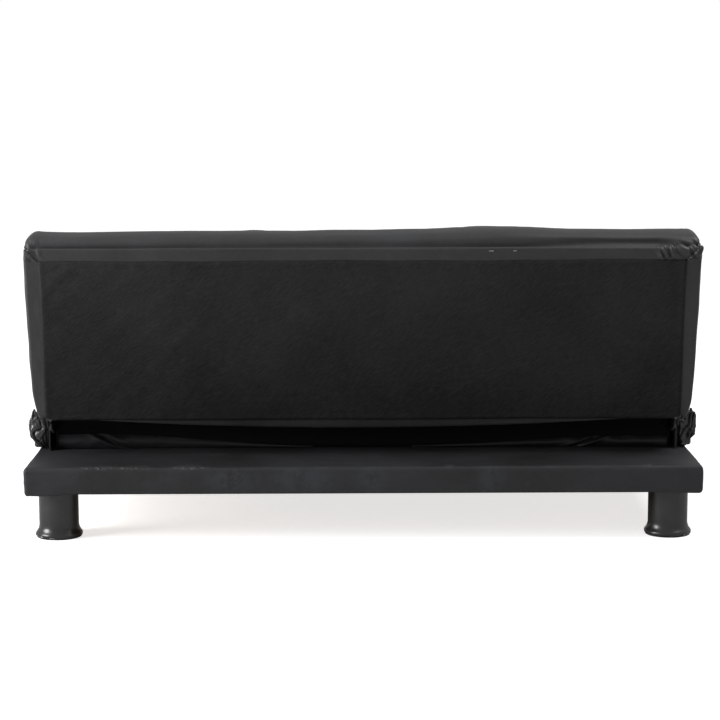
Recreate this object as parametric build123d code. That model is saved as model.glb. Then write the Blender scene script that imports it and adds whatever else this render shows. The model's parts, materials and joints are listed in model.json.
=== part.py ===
from build123d import *
import math
import os

# Futon sofa bed: a low upholstered base on four legs carries a seat and a backrest, which turn on one
# common pivot line. A toothed quadrant on each seat arm and a sprung pawl on each back arm hold the
# backrest. +X runs along the sofa, +Y is the rear, +Z is up and the floor is z = 0. Sizes are in mm.

# Base and legs
BASE_WIDTH = 1700.0
BASE_DEPTH = 730.0
BASE_HEIGHT = 70.0
BASE_SKIN = 4.0
BASE_LIP = 2.0
BASE_CORNER = 14.0
BASE_EDGE = 8.0
BASE_BOARD = 28.0
DECK_THICKNESS = 9.0
CROSS_RAIL_X = 280.0
BLOCK_SIZE = 118.0
BLOCK_HEIGHT = 40.0
LEG_HEIGHT = 120.0
LEG_RADIUS = 50.0
LEG_FOOT_RADIUS = 59.5
LEG_FLARE_HEIGHT = 30.0
LEG_FOOT_HEIGHT = 9.0
LEG_WALL = 5.0
LEG_TOP = 9.0
LEG_BOSS_RADIUS = 13.0
LEG_BOSS_LENGTH = 34.0
LEG_SIDE_INSET = 76.0
LEG_END_INSET = 76.0
GLIDE_THICKNESS = 2.0
GLIDE_INSET = 3.0
STUD_RADIUS = 5.0
STUD_LENGTH = 62.0
NUT_FLANGE = 12.0
NUT_BARREL = 7.0
NUT_SHEET = 1.6

# Cushions, measured from the pivot line with the backrest laid flat
PIVOT_INSET = 250.0
PIVOT_DEPTH = 45.0
CUSHION_THICKNESS = 136.0
SEAT_OVERHANG = 20.0
SEAT_REACH = 510.0
SEAT_END = 8.0
SEAT_REST_GAP = 0.5
BACK_STEP = 20.0
BACK_FRAME_REACH = 470.0
BACK_ROLL = 29.0
BACK_END = 24.0
BACK_HEEL = 9.0
BACK_FLAT_GAP = 3.0
CREASE_RADIUS = 46.0
CREASE_DROP = 24.0
CROWN = 24.0
LOBE_RISE = 21.0
PANELS = 3
NOSE_DROP = 8.0
NOSE_RADIUS = 42.0
SIDE_BULGE = 7.0
SIDE_DRAW = 6.0
SHOULDER_RADIUS = 34.0
PLAN_RADIUS = 38.0
HEM_RADIUS = 7.0
GROOVE_DEPTH = 6.0
COVER = 2.0
COVER_EASE = 0.3
HEM_WIDTH = 12.0
BORDER_TOP = 31.0
BORDER_SIDE = 31.0
BORDER_HEEL = 4.5
BORDER_EDGE = 10.0
SHEET = 1.0

# Timber frames inside the cushions
FRAME_HEIGHT = 45.0
BACK_FRAME_HEIGHT = 40.0
FRAME_BOARD = 25.0
FRAME_PADDING = 12.0
BEARER_X = 280.0
STRAP_WIDTH = 50.0
STRAP_THICKNESS = 1.5
SEAT_STRAPS = 9
BACK_STRAPS = 7
CROSS_STRAPS = 2

# Gathered corners at the seat's rear end
GATHER_THICKNESS = 15.0
GATHER_FOLDS = 3
GATHER_BULGE = 6.0
GATHER_TOP = -6.0

# Ratchet hinge
UPRIGHT_LEAN = 10.0
NOTCH_STEP = 20.0
PLATE = 4.0
PLATE_GAP = 0.5
WASHER = 0.4
PIN_RADIUS = 6.0
PIN_HEAD_RADIUS = 11.0
PIN_HEAD = 3.0
RUNNING_FIT = 0.1
HUB_RADIUS = 18.0
BRACKET_HALF = 20.0
BRACKET_FOOT = 8.0
ARM_LENGTH = 250.0
ARM_WIDTH = 32.0
ARM_HEEL = 12.0
TIP_RADIUS = 48.0
NOTCH_DEPTH = 4.5
NOTCH_HALF = 4.4
NOTCH_RAMP = 5.0
SECTOR_MARGIN = 12.0
NOSE_DIRECTION = -30.0
NOSE_HALF = 3.2
PAWL_RIDE = 0.6
PAWL_LEVER = 28.0
PAWL_OUT = 6.0
PAWL_EYE = 8.5
PAWL_TAIL = 20.0
PAWL_SIDE_GAP = 0.5
RIVET_RADIUS = 4.0
RIVET_HEAD_RADIUS = 6.5
RIVET_HEAD = 1.5
SPRING_STRIP = 1.2
SPRING_REACH = 38.0
SPRING_LIFT = 0.5
POCKET_SIDE = 5.0
POCKET_DEPTH = 62.0
POCKET_TOP = 22.0
BOLT_RADIUS = 4.0
BOLT_FIT = 0.1
BOLT_LENGTH = 24.0
BOLT_HEAD_RADIUS = 7.5
BOLT_HEAD = 5.3
ARM_BOLT_END = 20.0
ARM_BOLT_PITCH = 70.0
BRACKET_BOLT_PITCH = 24.0

# Worked out from the sizes above
FLAT_TURN = 90.0 - UPRIGHT_LEAN
SEAT_WIDTH = BASE_WIDTH + 2 * SEAT_OVERHANG
BACK_WIDTH = SEAT_WIDTH - 2 * BACK_STEP
HINGE_FACE = BASE_WIDTH / 2 - BASE_SKIN - BASE_BOARD
BASE_TOP = LEG_HEIGHT + BASE_HEIGHT
UNDERSIDE = PIVOT_DEPTH - CUSHION_THICKNESS
BACK_REAR = UNDERSIDE + BACK_FLAT_GAP
PIVOT_Y = (SEAT_REACH - PIVOT_INSET) / 2
PIVOT_Z = BASE_TOP + SEAT_REST_GAP - UNDERSIDE
BASE_REAR = PIVOT_Y + PIVOT_INSET
BASE_FRONT = BASE_REAR - BASE_DEPTH
LEG_X = BASE_WIDTH / 2 - LEG_SIDE_INSET
LEG_Y = (BASE_FRONT + LEG_END_INSET, BASE_REAR - LEG_END_INSET)
BRACKET_X = (HINGE_FACE - PLATE, HINGE_FACE)
BACK_ARM_X = (BRACKET_X[0] - PLATE_GAP - PLATE, BRACKET_X[0] - PLATE_GAP)
SEAT_ARM_X = (BACK_ARM_X[0] - PLATE_GAP - PLATE, BACK_ARM_X[0] - PLATE_GAP)
PIN_X = (SEAT_ARM_X[0] - PLATE_GAP, BRACKET_X[1] + PLATE_GAP)
POCKET_X = (SEAT_ARM_X[0] - POCKET_SIDE, HINGE_FACE + POCKET_SIDE)
SEAT_FRAME_X = SEAT_ARM_X[0]
BACK_FRAME_X = BACK_ARM_X[0]
SEAT_FRAME_Z = (UNDERSIDE + COVER, UNDERSIDE + COVER + FRAME_HEIGHT)
BACK_FRAME_Z = (BACK_REAR + COVER, BACK_REAR + COVER + BACK_FRAME_HEIGHT)
SEAT_FRAME_Y = (FRAME_PADDING + COVER - SEAT_REACH, -SEAT_END - COVER - FRAME_PADDING)
BACK_FRAME_Y = (BACK_END + FRAME_PADDING, BACK_FRAME_REACH - COVER - HEM_RADIUS)
ARM_BOLTS = [ARM_LENGTH - ARM_BOLT_END - ARM_BOLT_PITCH * index for index in range(3)]
SEAT_ARM_Z = (SEAT_FRAME_Z[0] + SEAT_FRAME_Z[1]) / 2
BACK_ARM_Z = (BACK_FRAME_Z[0] + BACK_FRAME_Z[1]) / 2
NOSE_FLAT = NOSE_DIRECTION - FLAT_TURN
REACH = 2 * BASE_WIDTH
PAST = SIDE_DRAW / 3

AT_PIVOT = Pos(0, PIVOT_Y, PIVOT_Z)
UPRIGHT = AT_PIVOT * Rot(X=FLAT_TURN)

nodes = {}


def box(x, y, z):
    """Block between the two values given for each axis."""
    centre = [(low + high) / 2 for low, high in (x, y, z)]
    return Pos(*centre) * Box(x[1] - x[0], y[1] - y[0], z[1] - z[0])


def rod_x(radius, x, y, z):
    """Round bar along X between the two values of x."""
    return Pos((x[0] + x[1]) / 2, y, z) * Rot(Y=90) * Cylinder(radius, x[1] - x[0])


def prism(plane, outline, low, high):
    """Outline on a plane, made solid between two distances along the plane's normal."""
    return plane.offset(low) * extrude(outline, amount=high - low, dir=(0, 0, 1))


def plate(outline, x):
    """Side outline, drawn as (y, z), given its thickness along X."""
    return prism(Plane.YZ, outline, *x)


def other_side(solid):
    return mirror(solid, about=Plane.YZ)


def group(solids):
    return Compound(children=list(solids))


def polar(radius, degrees):
    angle = math.radians(degrees)
    return (radius * math.cos(angle), radius * math.sin(angle))


def rounded(outline, corner, radius):
    """Outline with the corner nearest to a point rounded."""
    nearest = min(outline.vertices(), key=lambda v: math.hypot(v.X - corner[0], v.Y - corner[1]))
    return fillet(nearest, radius)


def closed(points_and_arcs):
    """Face inside a chain of points, where a point after the word via bends the stretch into an arc."""
    edges = []
    chain = list(points_and_arcs) + [points_and_arcs[0]]
    start, via = chain[0], None
    for item in chain[1:]:
        if len(item) == 3:
            via = item[:2]
            continue
        edges.append(ThreePointArc(start, via, item) if via else Line(start, item))
        start, via = item, None
    return make_face(edges)


# Base: boards on edge under a plywood deck, wrapped in one skin
def base_boards():
    low, high = LEG_HEIGHT + BASE_LIP, BASE_TOP - BASE_SKIN - DECK_THICKNESS
    outer, inner = BASE_WIDTH / 2 - BASE_SKIN, HINGE_FACE
    front, rear = BASE_FRONT + BASE_SKIN, BASE_REAR - BASE_SKIN
    side = box((inner, outer), (front, rear), (low, high)) - bracket_bolt_holes()
    nodes["base_side_rail_right"] = side
    nodes["base_side_rail_left"] = other_side(side)
    nodes["base_front_rail"] = box((-inner, inner), (front, front + BASE_BOARD), (low, high))
    nodes["base_rear_rail"] = box((-inner, inner), (rear - BASE_BOARD, rear), (low, high))
    cross_y = (front + BASE_BOARD, rear - BASE_BOARD)
    half = BASE_BOARD / 2
    nodes["base_cross_rails"] = group(
        box((x - half, x + half), cross_y, (low, high)) for x in (-CROSS_RAIL_X, CROSS_RAIL_X)
    )
    deck = box((-outer, outer), (front, rear), (high, high + DECK_THICKNESS))
    nodes["base_deck"] = deck - bracket_slots()


def bracket_slots():
    """Openings in the deck and the skin that the two hinge brackets come up through."""
    ease = PLATE_GAP
    slot = box(
        (BRACKET_X[0] - ease, BRACKET_X[1] + ease),
        (PIVOT_Y - BRACKET_HALF - ease, PIVOT_Y + BRACKET_HALF + ease),
        (BASE_TOP - BASE_SKIN - 2 * DECK_THICKNESS, BASE_TOP + BASE_SKIN),
    )
    board = box((HINGE_FACE, REACH), (-REACH, REACH), (0, BASE_TOP - BASE_SKIN - DECK_THICKNESS))
    slot -= board
    return [slot, other_side(slot)]


def base_cover():
    outer = box(
        (-BASE_WIDTH / 2, BASE_WIDTH / 2), (BASE_FRONT, BASE_REAR), (LEG_HEIGHT, BASE_TOP)
    )
    outer = fillet(outer.edges().filter_by(Axis.Z), BASE_CORNER)
    outer = fillet(outer.faces().sort_by(Axis.Z)[-1].edges(), BASE_EDGE)
    reach_x = BASE_WIDTH / 2 - BASE_SKIN
    front, rear = BASE_FRONT + BASE_SKIN, BASE_REAR - BASE_SKIN
    inside = box((-reach_x, reach_x), (front, rear), (LEG_HEIGHT + BASE_LIP, BASE_TOP - BASE_SKIN))
    opening = box(
        (-HINGE_FACE, HINGE_FACE), (front + BASE_BOARD, rear - BASE_BOARD), (0, LEG_HEIGHT + 2 * BASE_LIP)
    )
    nodes["base_cover"] = outer - inside - opening - bracket_slots()


def corner_positions():
    return [(x, y) for x in (-LEG_X, LEG_X) for y in LEG_Y]


def base_corners():
    """Glued corner blocks, each with a tee nut on top for the leg's stud."""
    blocks, nuts, studs = [], [], []
    top = LEG_HEIGHT + BLOCK_HEIGHT
    for x, y in corner_positions():
        outer_x = math.copysign(HINGE_FACE, x)
        inner_x = outer_x - math.copysign(BLOCK_SIZE, x)
        if y > PIVOT_Y:
            outer_y = BASE_REAR - BASE_SKIN - BASE_BOARD
            inner_y = outer_y - BLOCK_SIZE
        else:
            outer_y = BASE_FRONT + BASE_SKIN + BASE_BOARD
            inner_y = outer_y + BLOCK_SIZE
        block = box(sorted((inner_x, outer_x)), sorted((inner_y, outer_y)), (LEG_HEIGHT, top))
        blocks.append(block - Pos(x, y, top) * Cylinder(NUT_BARREL, 4 * BLOCK_HEIGHT))
        barrel = Pos(x, y, top - BLOCK_HEIGHT / 4) * Cylinder(NUT_BARREL, BLOCK_HEIGHT / 2)
        flange = Pos(x, y, top + NUT_SHEET / 2) * Cylinder(NUT_FLANGE, NUT_SHEET)
        nuts.append(barrel + flange - Pos(x, y, top) * Cylinder(STUD_RADIUS, 4 * BLOCK_HEIGHT))
        stud_low = LEG_HEIGHT - LEG_BOSS_LENGTH + RIVET_HEAD
        studs.append(Pos(x, y, stud_low + STUD_LENGTH / 2) * Cylinder(STUD_RADIUS, STUD_LENGTH))
    nodes["base_corner_blocks"] = group(blocks)
    nodes["leg_tee_nuts"] = group(nuts)
    nodes["leg_studs"] = group(studs)


def leg():
    """Hollow moulded leg: straight shank, trumpet flare and a rolled foot, with a bored boss inside."""
    foot = GLIDE_THICKNESS
    flare_mid = foot + LEG_FOOT_HEIGHT + (LEG_FLARE_HEIGHT - LEG_FOOT_HEIGHT) / 2
    flare_waist = LEG_RADIUS + (LEG_FOOT_RADIUS - LEG_RADIUS) * 0.28
    bore = LEG_RADIUS - LEG_WALL
    ceiling = LEG_HEIGHT - LEG_TOP
    outline = closed([
        (STUD_RADIUS, LEG_HEIGHT),
        (LEG_RADIUS, LEG_HEIGHT),
        (LEG_RADIUS, foot + LEG_FLARE_HEIGHT),
        (flare_waist, flare_mid, "via"),
        (LEG_FOOT_RADIUS, foot + LEG_FOOT_HEIGHT),
        (LEG_FOOT_RADIUS, foot + LEG_FOOT_HEIGHT / 3),
        (LEG_FOOT_RADIUS - LEG_FOOT_HEIGHT / 3, foot),
        (bore, foot),
        (bore, ceiling),
        (LEG_BOSS_RADIUS, ceiling),
        (LEG_BOSS_RADIUS, LEG_HEIGHT - LEG_BOSS_LENGTH),
        (STUD_RADIUS, LEG_HEIGHT - LEG_BOSS_LENGTH),
    ])
    return revolve(Plane.XZ * outline, Axis.Z)


def legs():
    names = ("front_left", "rear_left", "front_right", "rear_right")
    shape = leg()
    glide = Pos(0, 0, GLIDE_THICKNESS / 2) * Cylinder(LEG_FOOT_RADIUS - GLIDE_INSET, GLIDE_THICKNESS)
    for name, (x, y) in zip(names, corner_positions()):
        nodes["leg_" + name] = Pos(x, y, 0) * shape
        nodes["leg_glide_" + name] = Pos(x, y, 0) * glide


# Cushions: each form is where its side, front and plan outlines meet, all drawn in by one inset
def seat_form(inset):
    front, rear = inset - SEAT_REACH, -SEAT_END - inset
    low, top = UNDERSIDE + inset, PIVOT_DEPTH - inset
    nose, nose_top = front + SIDE_BULGE, top - NOSE_DROP
    crease = (rear, top - CREASE_DROP)
    side = closed([
        (rear, low),
        crease,
        ((front + rear) / 2, top + CROWN, "via"),
        (nose, nose_top),
        (front, (nose_top + low) / 2, "via"),
        (nose, low),
    ])
    side = rounded(side, crease, CREASE_RADIUS - inset)
    side = rounded(side, (nose, nose_top), NOSE_RADIUS - inset)
    side = rounded(side, (nose, low), HEM_RADIUS - inset)
    half = SEAT_WIDTH / 2 - inset
    plan = drawn_in_plan(half, (front, rear), (PLAN_RADIUS - inset, HEM_RADIUS - inset))
    return meet(side, lobed_front(half, low, top), plan)


def back_form(inset):
    """Backrest laid flat: a rolled foam edge stands past the frame's top, with a groove above the border."""
    low, top = BACK_REAR + inset, PIVOT_DEPTH - inset
    heel, end = BACK_HEEL + inset, BACK_END + inset
    edge, crest = BACK_FRAME_REACH - inset, BACK_FRAME_REACH + BACK_ROLL - inset
    shoulder, shoulder_top = edge + BACK_ROLL / 3, top - NOSE_DROP
    groove = BACK_REAR + BORDER_EDGE + GROOVE_DEPTH
    crease = (end, top - CREASE_DROP)
    side = closed([
        (heel, low),
        (end, crease[1] - CREASE_RADIUS),
        crease,
        ((end + edge) / 2, top + CROWN, "via"),
        (shoulder, shoulder_top),
        (crest, (shoulder_top + groove) / 2, "via"),
        (edge - GROOVE_DEPTH, groove),
        (edge, groove - GROOVE_DEPTH),
        (edge, low),
    ])
    side = rounded(side, crease, CREASE_RADIUS - inset)
    side = rounded(side, (shoulder, shoulder_top), NOSE_RADIUS / 2 - inset)
    side = rounded(side, (edge, low), HEM_RADIUS - inset)
    side = rounded(side, (heel, low), HEM_RADIUS - inset)
    half = BACK_WIDTH / 2 - inset
    plan = drawn_in_plan(half, (heel, crest), (HEM_RADIUS - inset, PLAN_RADIUS - inset))
    return meet(side, lobed_front(half, low, top), plan)


def lobed_front(half, low, top):
    """Front outline with bulging sides and one crowned lobe for each sewn panel, open past the underside."""
    edge = half - SIDE_BULGE
    foot = low - PAST
    seams = [edge - 2 * edge * index / PANELS for index in range(PANELS + 1)]
    chain = [(edge, foot), (half, (low + top) / 2, "via"), (edge, top)]
    for start, end in zip(seams, seams[1:]):
        chain += [((start + end) / 2, top + LOBE_RISE, "via"), (end, top)]
    chain += [(-half, (low + top) / 2, "via"), (-edge, foot)]
    face = closed(chain)
    for x in (edge, -edge):
        face = rounded(face, (x, top), SHOULDER_RADIUS)
    return face


def drawn_in_plan(half, ends, radii):
    """Plan outline with sides that draw in between the corners."""
    waist, middle = half - SIDE_DRAW, (ends[0] + ends[1]) / 2
    wide, ahead, behind = half + PAST, ends[0] - PAST, ends[1] + PAST
    face = closed([
        (-wide, ahead),
        (wide, ahead),
        (waist, middle, "via"),
        (wide, behind),
        (-wide, behind),
        (-waist, middle, "via"),
    ])
    for x in (-wide, wide):
        face = rounded(face, (x, ahead), radii[0])
        face = rounded(face, (x, behind), radii[1])
    return face


def meet(side, front, plan):
    """Solid that has these outlines from the side, from the front and in plan."""
    return (
        prism(Plane.YZ, side, -REACH, REACH)
        & prism(Plane.XZ, front, -REACH, REACH)
        & prism(Plane.XY, plan, -REACH, REACH)
    )


def hinge_pockets(y):
    """Slots at a cushion's crease end that clear the hinge plates."""
    pocket = box(POCKET_X, y, (-REACH, POCKET_TOP))
    return [pocket, other_side(pocket)]


def frame_room(frame_y, ceiling):
    """Space under the foam for the timber frame and for the arms along its sides."""
    ease = COVER_EASE
    return box((-POCKET_X[1], POCKET_X[1]), (frame_y[0] - ease, frame_y[1] + ease), (-REACH, ceiling))


def straps(frame_x, frame_y, low, count):
    """Elastic webbing: a row of straps along Y with a few more laid across them."""
    half, top = STRAP_WIDTH / 2, low + STRAP_THICKNESS
    pitch = 2 * frame_x / (count + 1)
    solids = []
    for index in range(count):
        x = -frame_x + pitch * (index + 1)
        solids.append(box((x - half, x + half), frame_y, (low, top)))
    cross_pitch = (frame_y[1] - frame_y[0]) / (CROSS_STRAPS + 1)
    for index in range(CROSS_STRAPS):
        y = frame_y[0] + cross_pitch * (index + 1)
        solids.append(box((-frame_x, frame_x), (y - half, y + half), (top, top + STRAP_THICKNESS)))
    return group(solids)


def timber_frame(prefix, names, frame_x, frame_y, frame_z, holes, place):
    """Two end rails between two side rails, with bearers between them."""
    inner_x = frame_x - FRAME_BOARD
    inner_y = (frame_y[0] + FRAME_BOARD, frame_y[1] - FRAME_BOARD)
    side = box((inner_x, frame_x), frame_y, frame_z) - holes
    half = FRAME_BOARD / 2
    nodes[prefix + "_side_rail_right"] = place * side
    nodes[prefix + "_side_rail_left"] = place * other_side(side)
    nodes[prefix + names[0]] = place * box((-inner_x, inner_x), (frame_y[0], inner_y[0]), frame_z)
    nodes[prefix + names[1]] = place * box((-inner_x, inner_x), (inner_y[1], frame_y[1]), frame_z)
    nodes[prefix + names[2]] = place * group(
        box((x - half, x + half), inner_y, frame_z) for x in (-BEARER_X, BEARER_X)
    )


def cushion(prefix, form, frame_y, frame_z, opening, pocket_y, place):
    """Leather cover with a hem underneath, and the foam block inside it."""
    webbing_top = frame_z[1] + 2 * STRAP_THICKNESS
    cover = form(0) - form(COVER) - opening - hinge_pockets(pocket_y)
    foam = form(COVER + COVER_EASE)
    foam = foam - frame_room(frame_y, webbing_top + COVER_EASE) - hinge_pockets(pocket_y)
    nodes[prefix + "_cover"] = place * cover
    nodes[prefix + "_foam"] = place * foam


def seat():
    frame_y, frame_z = SEAT_FRAME_Y, SEAT_FRAME_Z
    holes = [bolt_hole(SEAT_FRAME_X, -1, -along, SEAT_ARM_Z) for along in ARM_BOLTS]
    names = ("_front_rail", "_rear_rail", "_bearers")
    timber_frame("seat", names, SEAT_FRAME_X, frame_y, frame_z, holes, AT_PIVOT)
    open_x = SEAT_FRAME_X - HEM_WIDTH
    open_y = (frame_y[0] + HEM_WIDTH, frame_y[1] - HEM_WIDTH)
    opening = box((-open_x, open_x), open_y, (-REACH, frame_z[0]))
    cushion("seat", seat_form, frame_y, frame_z, opening, (-POCKET_DEPTH, REACH), AT_PIVOT)
    nodes["seat_webbing"] = AT_PIVOT * straps(SEAT_FRAME_X, frame_y, frame_z[1], SEAT_STRAPS)
    edge_x = open_x - COVER_EASE
    edge_y = (open_y[0] + COVER_EASE, open_y[1] - COVER_EASE)
    nodes["seat_dust_cover"] = AT_PIVOT * box((-edge_x, edge_x), edge_y, (frame_z[0] - SHEET, frame_z[0]))


def seat_gathers():
    """Leather gathered into upright folds where the cover closes at the seat's rear corners."""
    inner, outer = POCKET_X[1] + COVER, SEAT_WIDTH / 2 + GATHER_BULGE
    wall, crest = -SEAT_END, GATHER_THICKNESS - SEAT_END
    step = (outer - inner) / GATHER_FOLDS
    valley = (wall + crest) / 2
    chain = [(inner, wall), (inner, valley)]
    for index in range(GATHER_FOLDS):
        x = inner + step * index
        chain += [(x + step / 2, crest, "via"), (x + step, valley)]
    chain += [(outer, wall)]
    low, high = UNDERSIDE + COVER, GATHER_TOP
    edge = (2 * valley + wall) / 3
    swell = closed([
        (wall, low),
        (edge, low),
        (crest, (low + high) / 2, "via"),
        (edge, high),
        (wall, high),
    ])
    gather = prism(Plane.XY, closed(chain), -REACH, REACH) & prism(Plane.YZ, swell, 0, REACH)
    nodes["seat_gather_right"] = AT_PIVOT * gather
    nodes["seat_gather_left"] = AT_PIVOT * other_side(gather)


def backrest():
    frame_y, frame_z = BACK_FRAME_Y, BACK_FRAME_Z
    holes = [bolt_hole(BACK_FRAME_X, -1, along, BACK_ARM_Z) for along in ARM_BOLTS]
    holes.append(spring_recess())
    names = ("_bottom_rail", "_top_rail", "_stiles")
    timber_frame("back", names, BACK_FRAME_X, frame_y, frame_z, holes, UPRIGHT)
    open_x = BACK_WIDTH / 2 - BORDER_SIDE
    open_y = (BACK_HEEL + COVER + BORDER_HEEL, BACK_FRAME_REACH - BORDER_TOP)
    opening = box((-open_x, open_x), open_y, (-REACH, frame_z[0]))
    cushion("back", back_form, frame_y, frame_z, opening, (-REACH, POCKET_DEPTH), UPRIGHT)
    nodes["back_webbing"] = UPRIGHT * straps(BACK_FRAME_X, frame_y, frame_z[1], BACK_STRAPS)
    edge_x = open_x - COVER_EASE
    edge_y = (open_y[0] + COVER_EASE, open_y[1] - COVER_EASE)
    panel = box((-edge_x, edge_x), edge_y, (frame_z[0] - SHEET, frame_z[0]))
    nodes["back_panel"] = UPRIGHT * (panel - hinge_pockets((-REACH, POCKET_DEPTH)))


# Ratchet hinge, drawn for the right-hand side with the backrest laid flat
def bolt_hole(face_x, way, y, z):
    """Pilot hole for a lag bolt that enters a face along X, the given way."""
    reach = (face_x - way * 2 * PLATE, face_x + way * BOLT_LENGTH)
    return rod_x(BOLT_RADIUS + BOLT_FIT, sorted(reach), y, z)


def lag_bolt(plate_x, way, y, z):
    """Hexagon-headed lag bolt whose head bears on a plate face at plate_x."""
    shank = rod_x(BOLT_RADIUS, sorted((plate_x, plate_x + way * BOLT_LENGTH)), y, z)
    flats = Pos(y, z) * RegularPolygon(BOLT_HEAD_RADIUS, 6)
    head = plate(flats, sorted((plate_x - way * BOLT_HEAD, plate_x)))
    return shank + head


def bracket_bolt_places():
    """Bolts of the right-hand base bracket, as (y, z) from the pivot."""
    top = BASE_TOP - BASE_SKIN - DECK_THICKNESS - PIVOT_Z
    low = LEG_HEIGHT + BASE_LIP - PIVOT_Z
    middle = (top + low) / 2
    half = BRACKET_BOLT_PITCH / 2
    return [(-half / 2, middle + half), (half / 2, middle - half)]


def bracket_bolt_holes():
    return [AT_PIVOT * bolt_hole(HINGE_FACE, 1, y, z) for y, z in bracket_bolt_places()]


def base_brackets():
    foot = LEG_HEIGHT + BRACKET_FOOT - PIVOT_Z
    half = BRACKET_HALF
    outline = closed([(-half, foot), (half, foot), (half, 0), (0, half, "via"), (-half, 0)])
    outline -= Circle(PIN_RADIUS)
    places = bracket_bolt_places()
    for place in places:
        outline -= Pos(*place) * Circle(BOLT_RADIUS + BOLT_FIT)
    bracket = AT_PIVOT * plate(outline, BRACKET_X)
    nodes["hinge_bracket_right"] = bracket
    nodes["hinge_bracket_left"] = other_side(bracket)
    bolts = [AT_PIVOT * lag_bolt(BRACKET_X[0], 1, y, z) for y, z in places]
    nodes["hinge_bracket_bolts"] = group(bolts + [other_side(bolt) for bolt in bolts])


def hinge_pins():
    """Headed pivot pins, riveted in the base brackets, and the thin washers between the plates."""
    pin = rod_x(PIN_RADIUS, PIN_X, 0, 0)
    pin += rod_x(PIN_HEAD_RADIUS, (PIN_X[0] - PIN_HEAD, PIN_X[0]), 0, 0)
    pin += rod_x(PIN_HEAD_RADIUS, (PIN_X[1], PIN_X[1] + PIN_HEAD), 0, 0)
    pin = AT_PIVOT * pin
    nodes["hinge_pins"] = group([pin, other_side(pin)])
    ring = Circle(PIN_HEAD_RADIUS) - Circle(PIN_RADIUS + RUNNING_FIT)
    ease = (PLATE_GAP - WASHER) / 2
    seats = (PIN_X[0], SEAT_ARM_X[1], BACK_ARM_X[1], BRACKET_X[1])
    washers = [AT_PIVOT * plate(ring, (x + ease, x + ease + WASHER)) for x in seats]
    nodes["hinge_washers"] = group(washers + [other_side(washer) for washer in washers])


def notch_directions():
    """Direction of each notch from the pivot, from one step past upright down to flat."""
    count = round(FLAT_TURN / NOTCH_STEP) + 2
    return [NOSE_DIRECTION + NOTCH_STEP * (1 - index) for index in range(count)]


def seat_arm():
    """Seat arm with its toothed quadrant about the pivot."""
    directions = notch_directions()
    high, low = directions[0] + SECTOR_MARGIN, directions[-1] - SECTOR_MARGIN
    quadrant = closed([
        (0, 0),
        polar(TIP_RADIUS, low),
        (*polar(TIP_RADIUS, (low + high) / 2), "via"),
        polar(TIP_RADIUS, high),
    ])
    top, bottom = SEAT_ARM_Z + ARM_WIDTH / 2, SEAT_ARM_Z - ARM_WIDTH / 2
    heel = polar(TIP_RADIUS, low)
    neck = closed([
        (0, HUB_RADIUS),
        (-POCKET_DEPTH, top),
        (-ARM_LENGTH, top),
        (-ARM_LENGTH, bottom),
        (-POCKET_DEPTH, bottom),
        heel,
        (0, 0),
    ])
    outline = quadrant + neck + Circle(HUB_RADIUS) - Circle(PIN_RADIUS + RUNNING_FIT)
    root, beyond = TIP_RADIUS - NOTCH_DEPTH, TIP_RADIUS + NOTCH_DEPTH
    notch = closed([
        (root, -NOTCH_HALF),
        (root, NOTCH_HALF),
        (beyond, NOTCH_HALF + 2 * NOTCH_RAMP),
        (beyond, -NOTCH_HALF),
    ])
    for direction in directions:
        outline -= Rot(Z=direction) * notch
    for along in ARM_BOLTS:
        outline -= Pos(-along, SEAT_ARM_Z) * Circle(BOLT_RADIUS + BOLT_FIT)
    return plate(outline, SEAT_ARM_X)


def pawl_pivot():
    """Pawl rivet's place beside the quadrant, as (y, z) with the backrest flat."""
    spot = Rot(Z=NOSE_FLAT) * Pos(TIP_RADIUS + PAWL_OUT, PAWL_LEVER)
    return (spot.position.X, spot.position.Y)


def back_arm():
    """Cranked back arm: a strip along the frame, a web to the pivot and a seat for the pawl's rivet."""
    top, bottom = BACK_ARM_Z + ARM_WIDTH / 2, BACK_ARM_Z - ARM_WIDTH / 2
    eye = pawl_pivot()
    strip = closed([(-ARM_HEEL, top), (ARM_LENGTH, top), (ARM_LENGTH, bottom), (-ARM_HEEL / 2, bottom)])
    web = closed([(-HUB_RADIUS, 0), (-ARM_HEEL, top), (POCKET_DEPTH, top), (HUB_RADIUS, 0)])
    outline = strip + web + Circle(HUB_RADIUS) + Pos(*eye) * Circle(PAWL_EYE + RIVET_RADIUS)
    outline -= Circle(PIN_RADIUS + RUNNING_FIT)
    outline -= Pos(*eye) * Circle(RIVET_RADIUS)
    for along in ARM_BOLTS:
        outline -= Pos(along, BACK_ARM_Z) * Circle(BOLT_RADIUS + BOLT_FIT)
    return plate(outline, BACK_ARM_X)


def pawl():
    """Lever with a nose that drops into a notch, an eye for its rivet and a tail under the spring."""
    tip, eye = TIP_RADIUS + PAWL_RIDE, TIP_RADIUS + PAWL_OUT
    lever = closed([
        (tip, -NOSE_HALF),
        (tip, NOSE_HALF),
        (tip + PAWL_OUT, NOSE_HALF + PAWL_OUT / 3),
        (eye - PAWL_EYE * 0.8, PAWL_LEVER),
        (eye + PAWL_EYE * 0.8, PAWL_LEVER),
        (tip + 2 * PAWL_OUT, -NOSE_HALF),
    ])
    tail_half = PAWL_EYE * 0.4
    tail = closed([
        (eye - tail_half, PAWL_LEVER),
        (eye - tail_half, PAWL_LEVER + PAWL_TAIL),
        (eye + tail_half, PAWL_LEVER + PAWL_TAIL),
        (eye + tail_half, PAWL_LEVER),
    ])
    outline = lever + tail + Pos(eye, PAWL_LEVER) * Circle(PAWL_EYE)
    outline -= Pos(eye, PAWL_LEVER) * Circle(RIVET_RADIUS + RUNNING_FIT)
    return plate(Rot(Z=NOSE_FLAT) * outline, (SEAT_ARM_X[0] + PAWL_SIDE_GAP, SEAT_ARM_X[1]))


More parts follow.
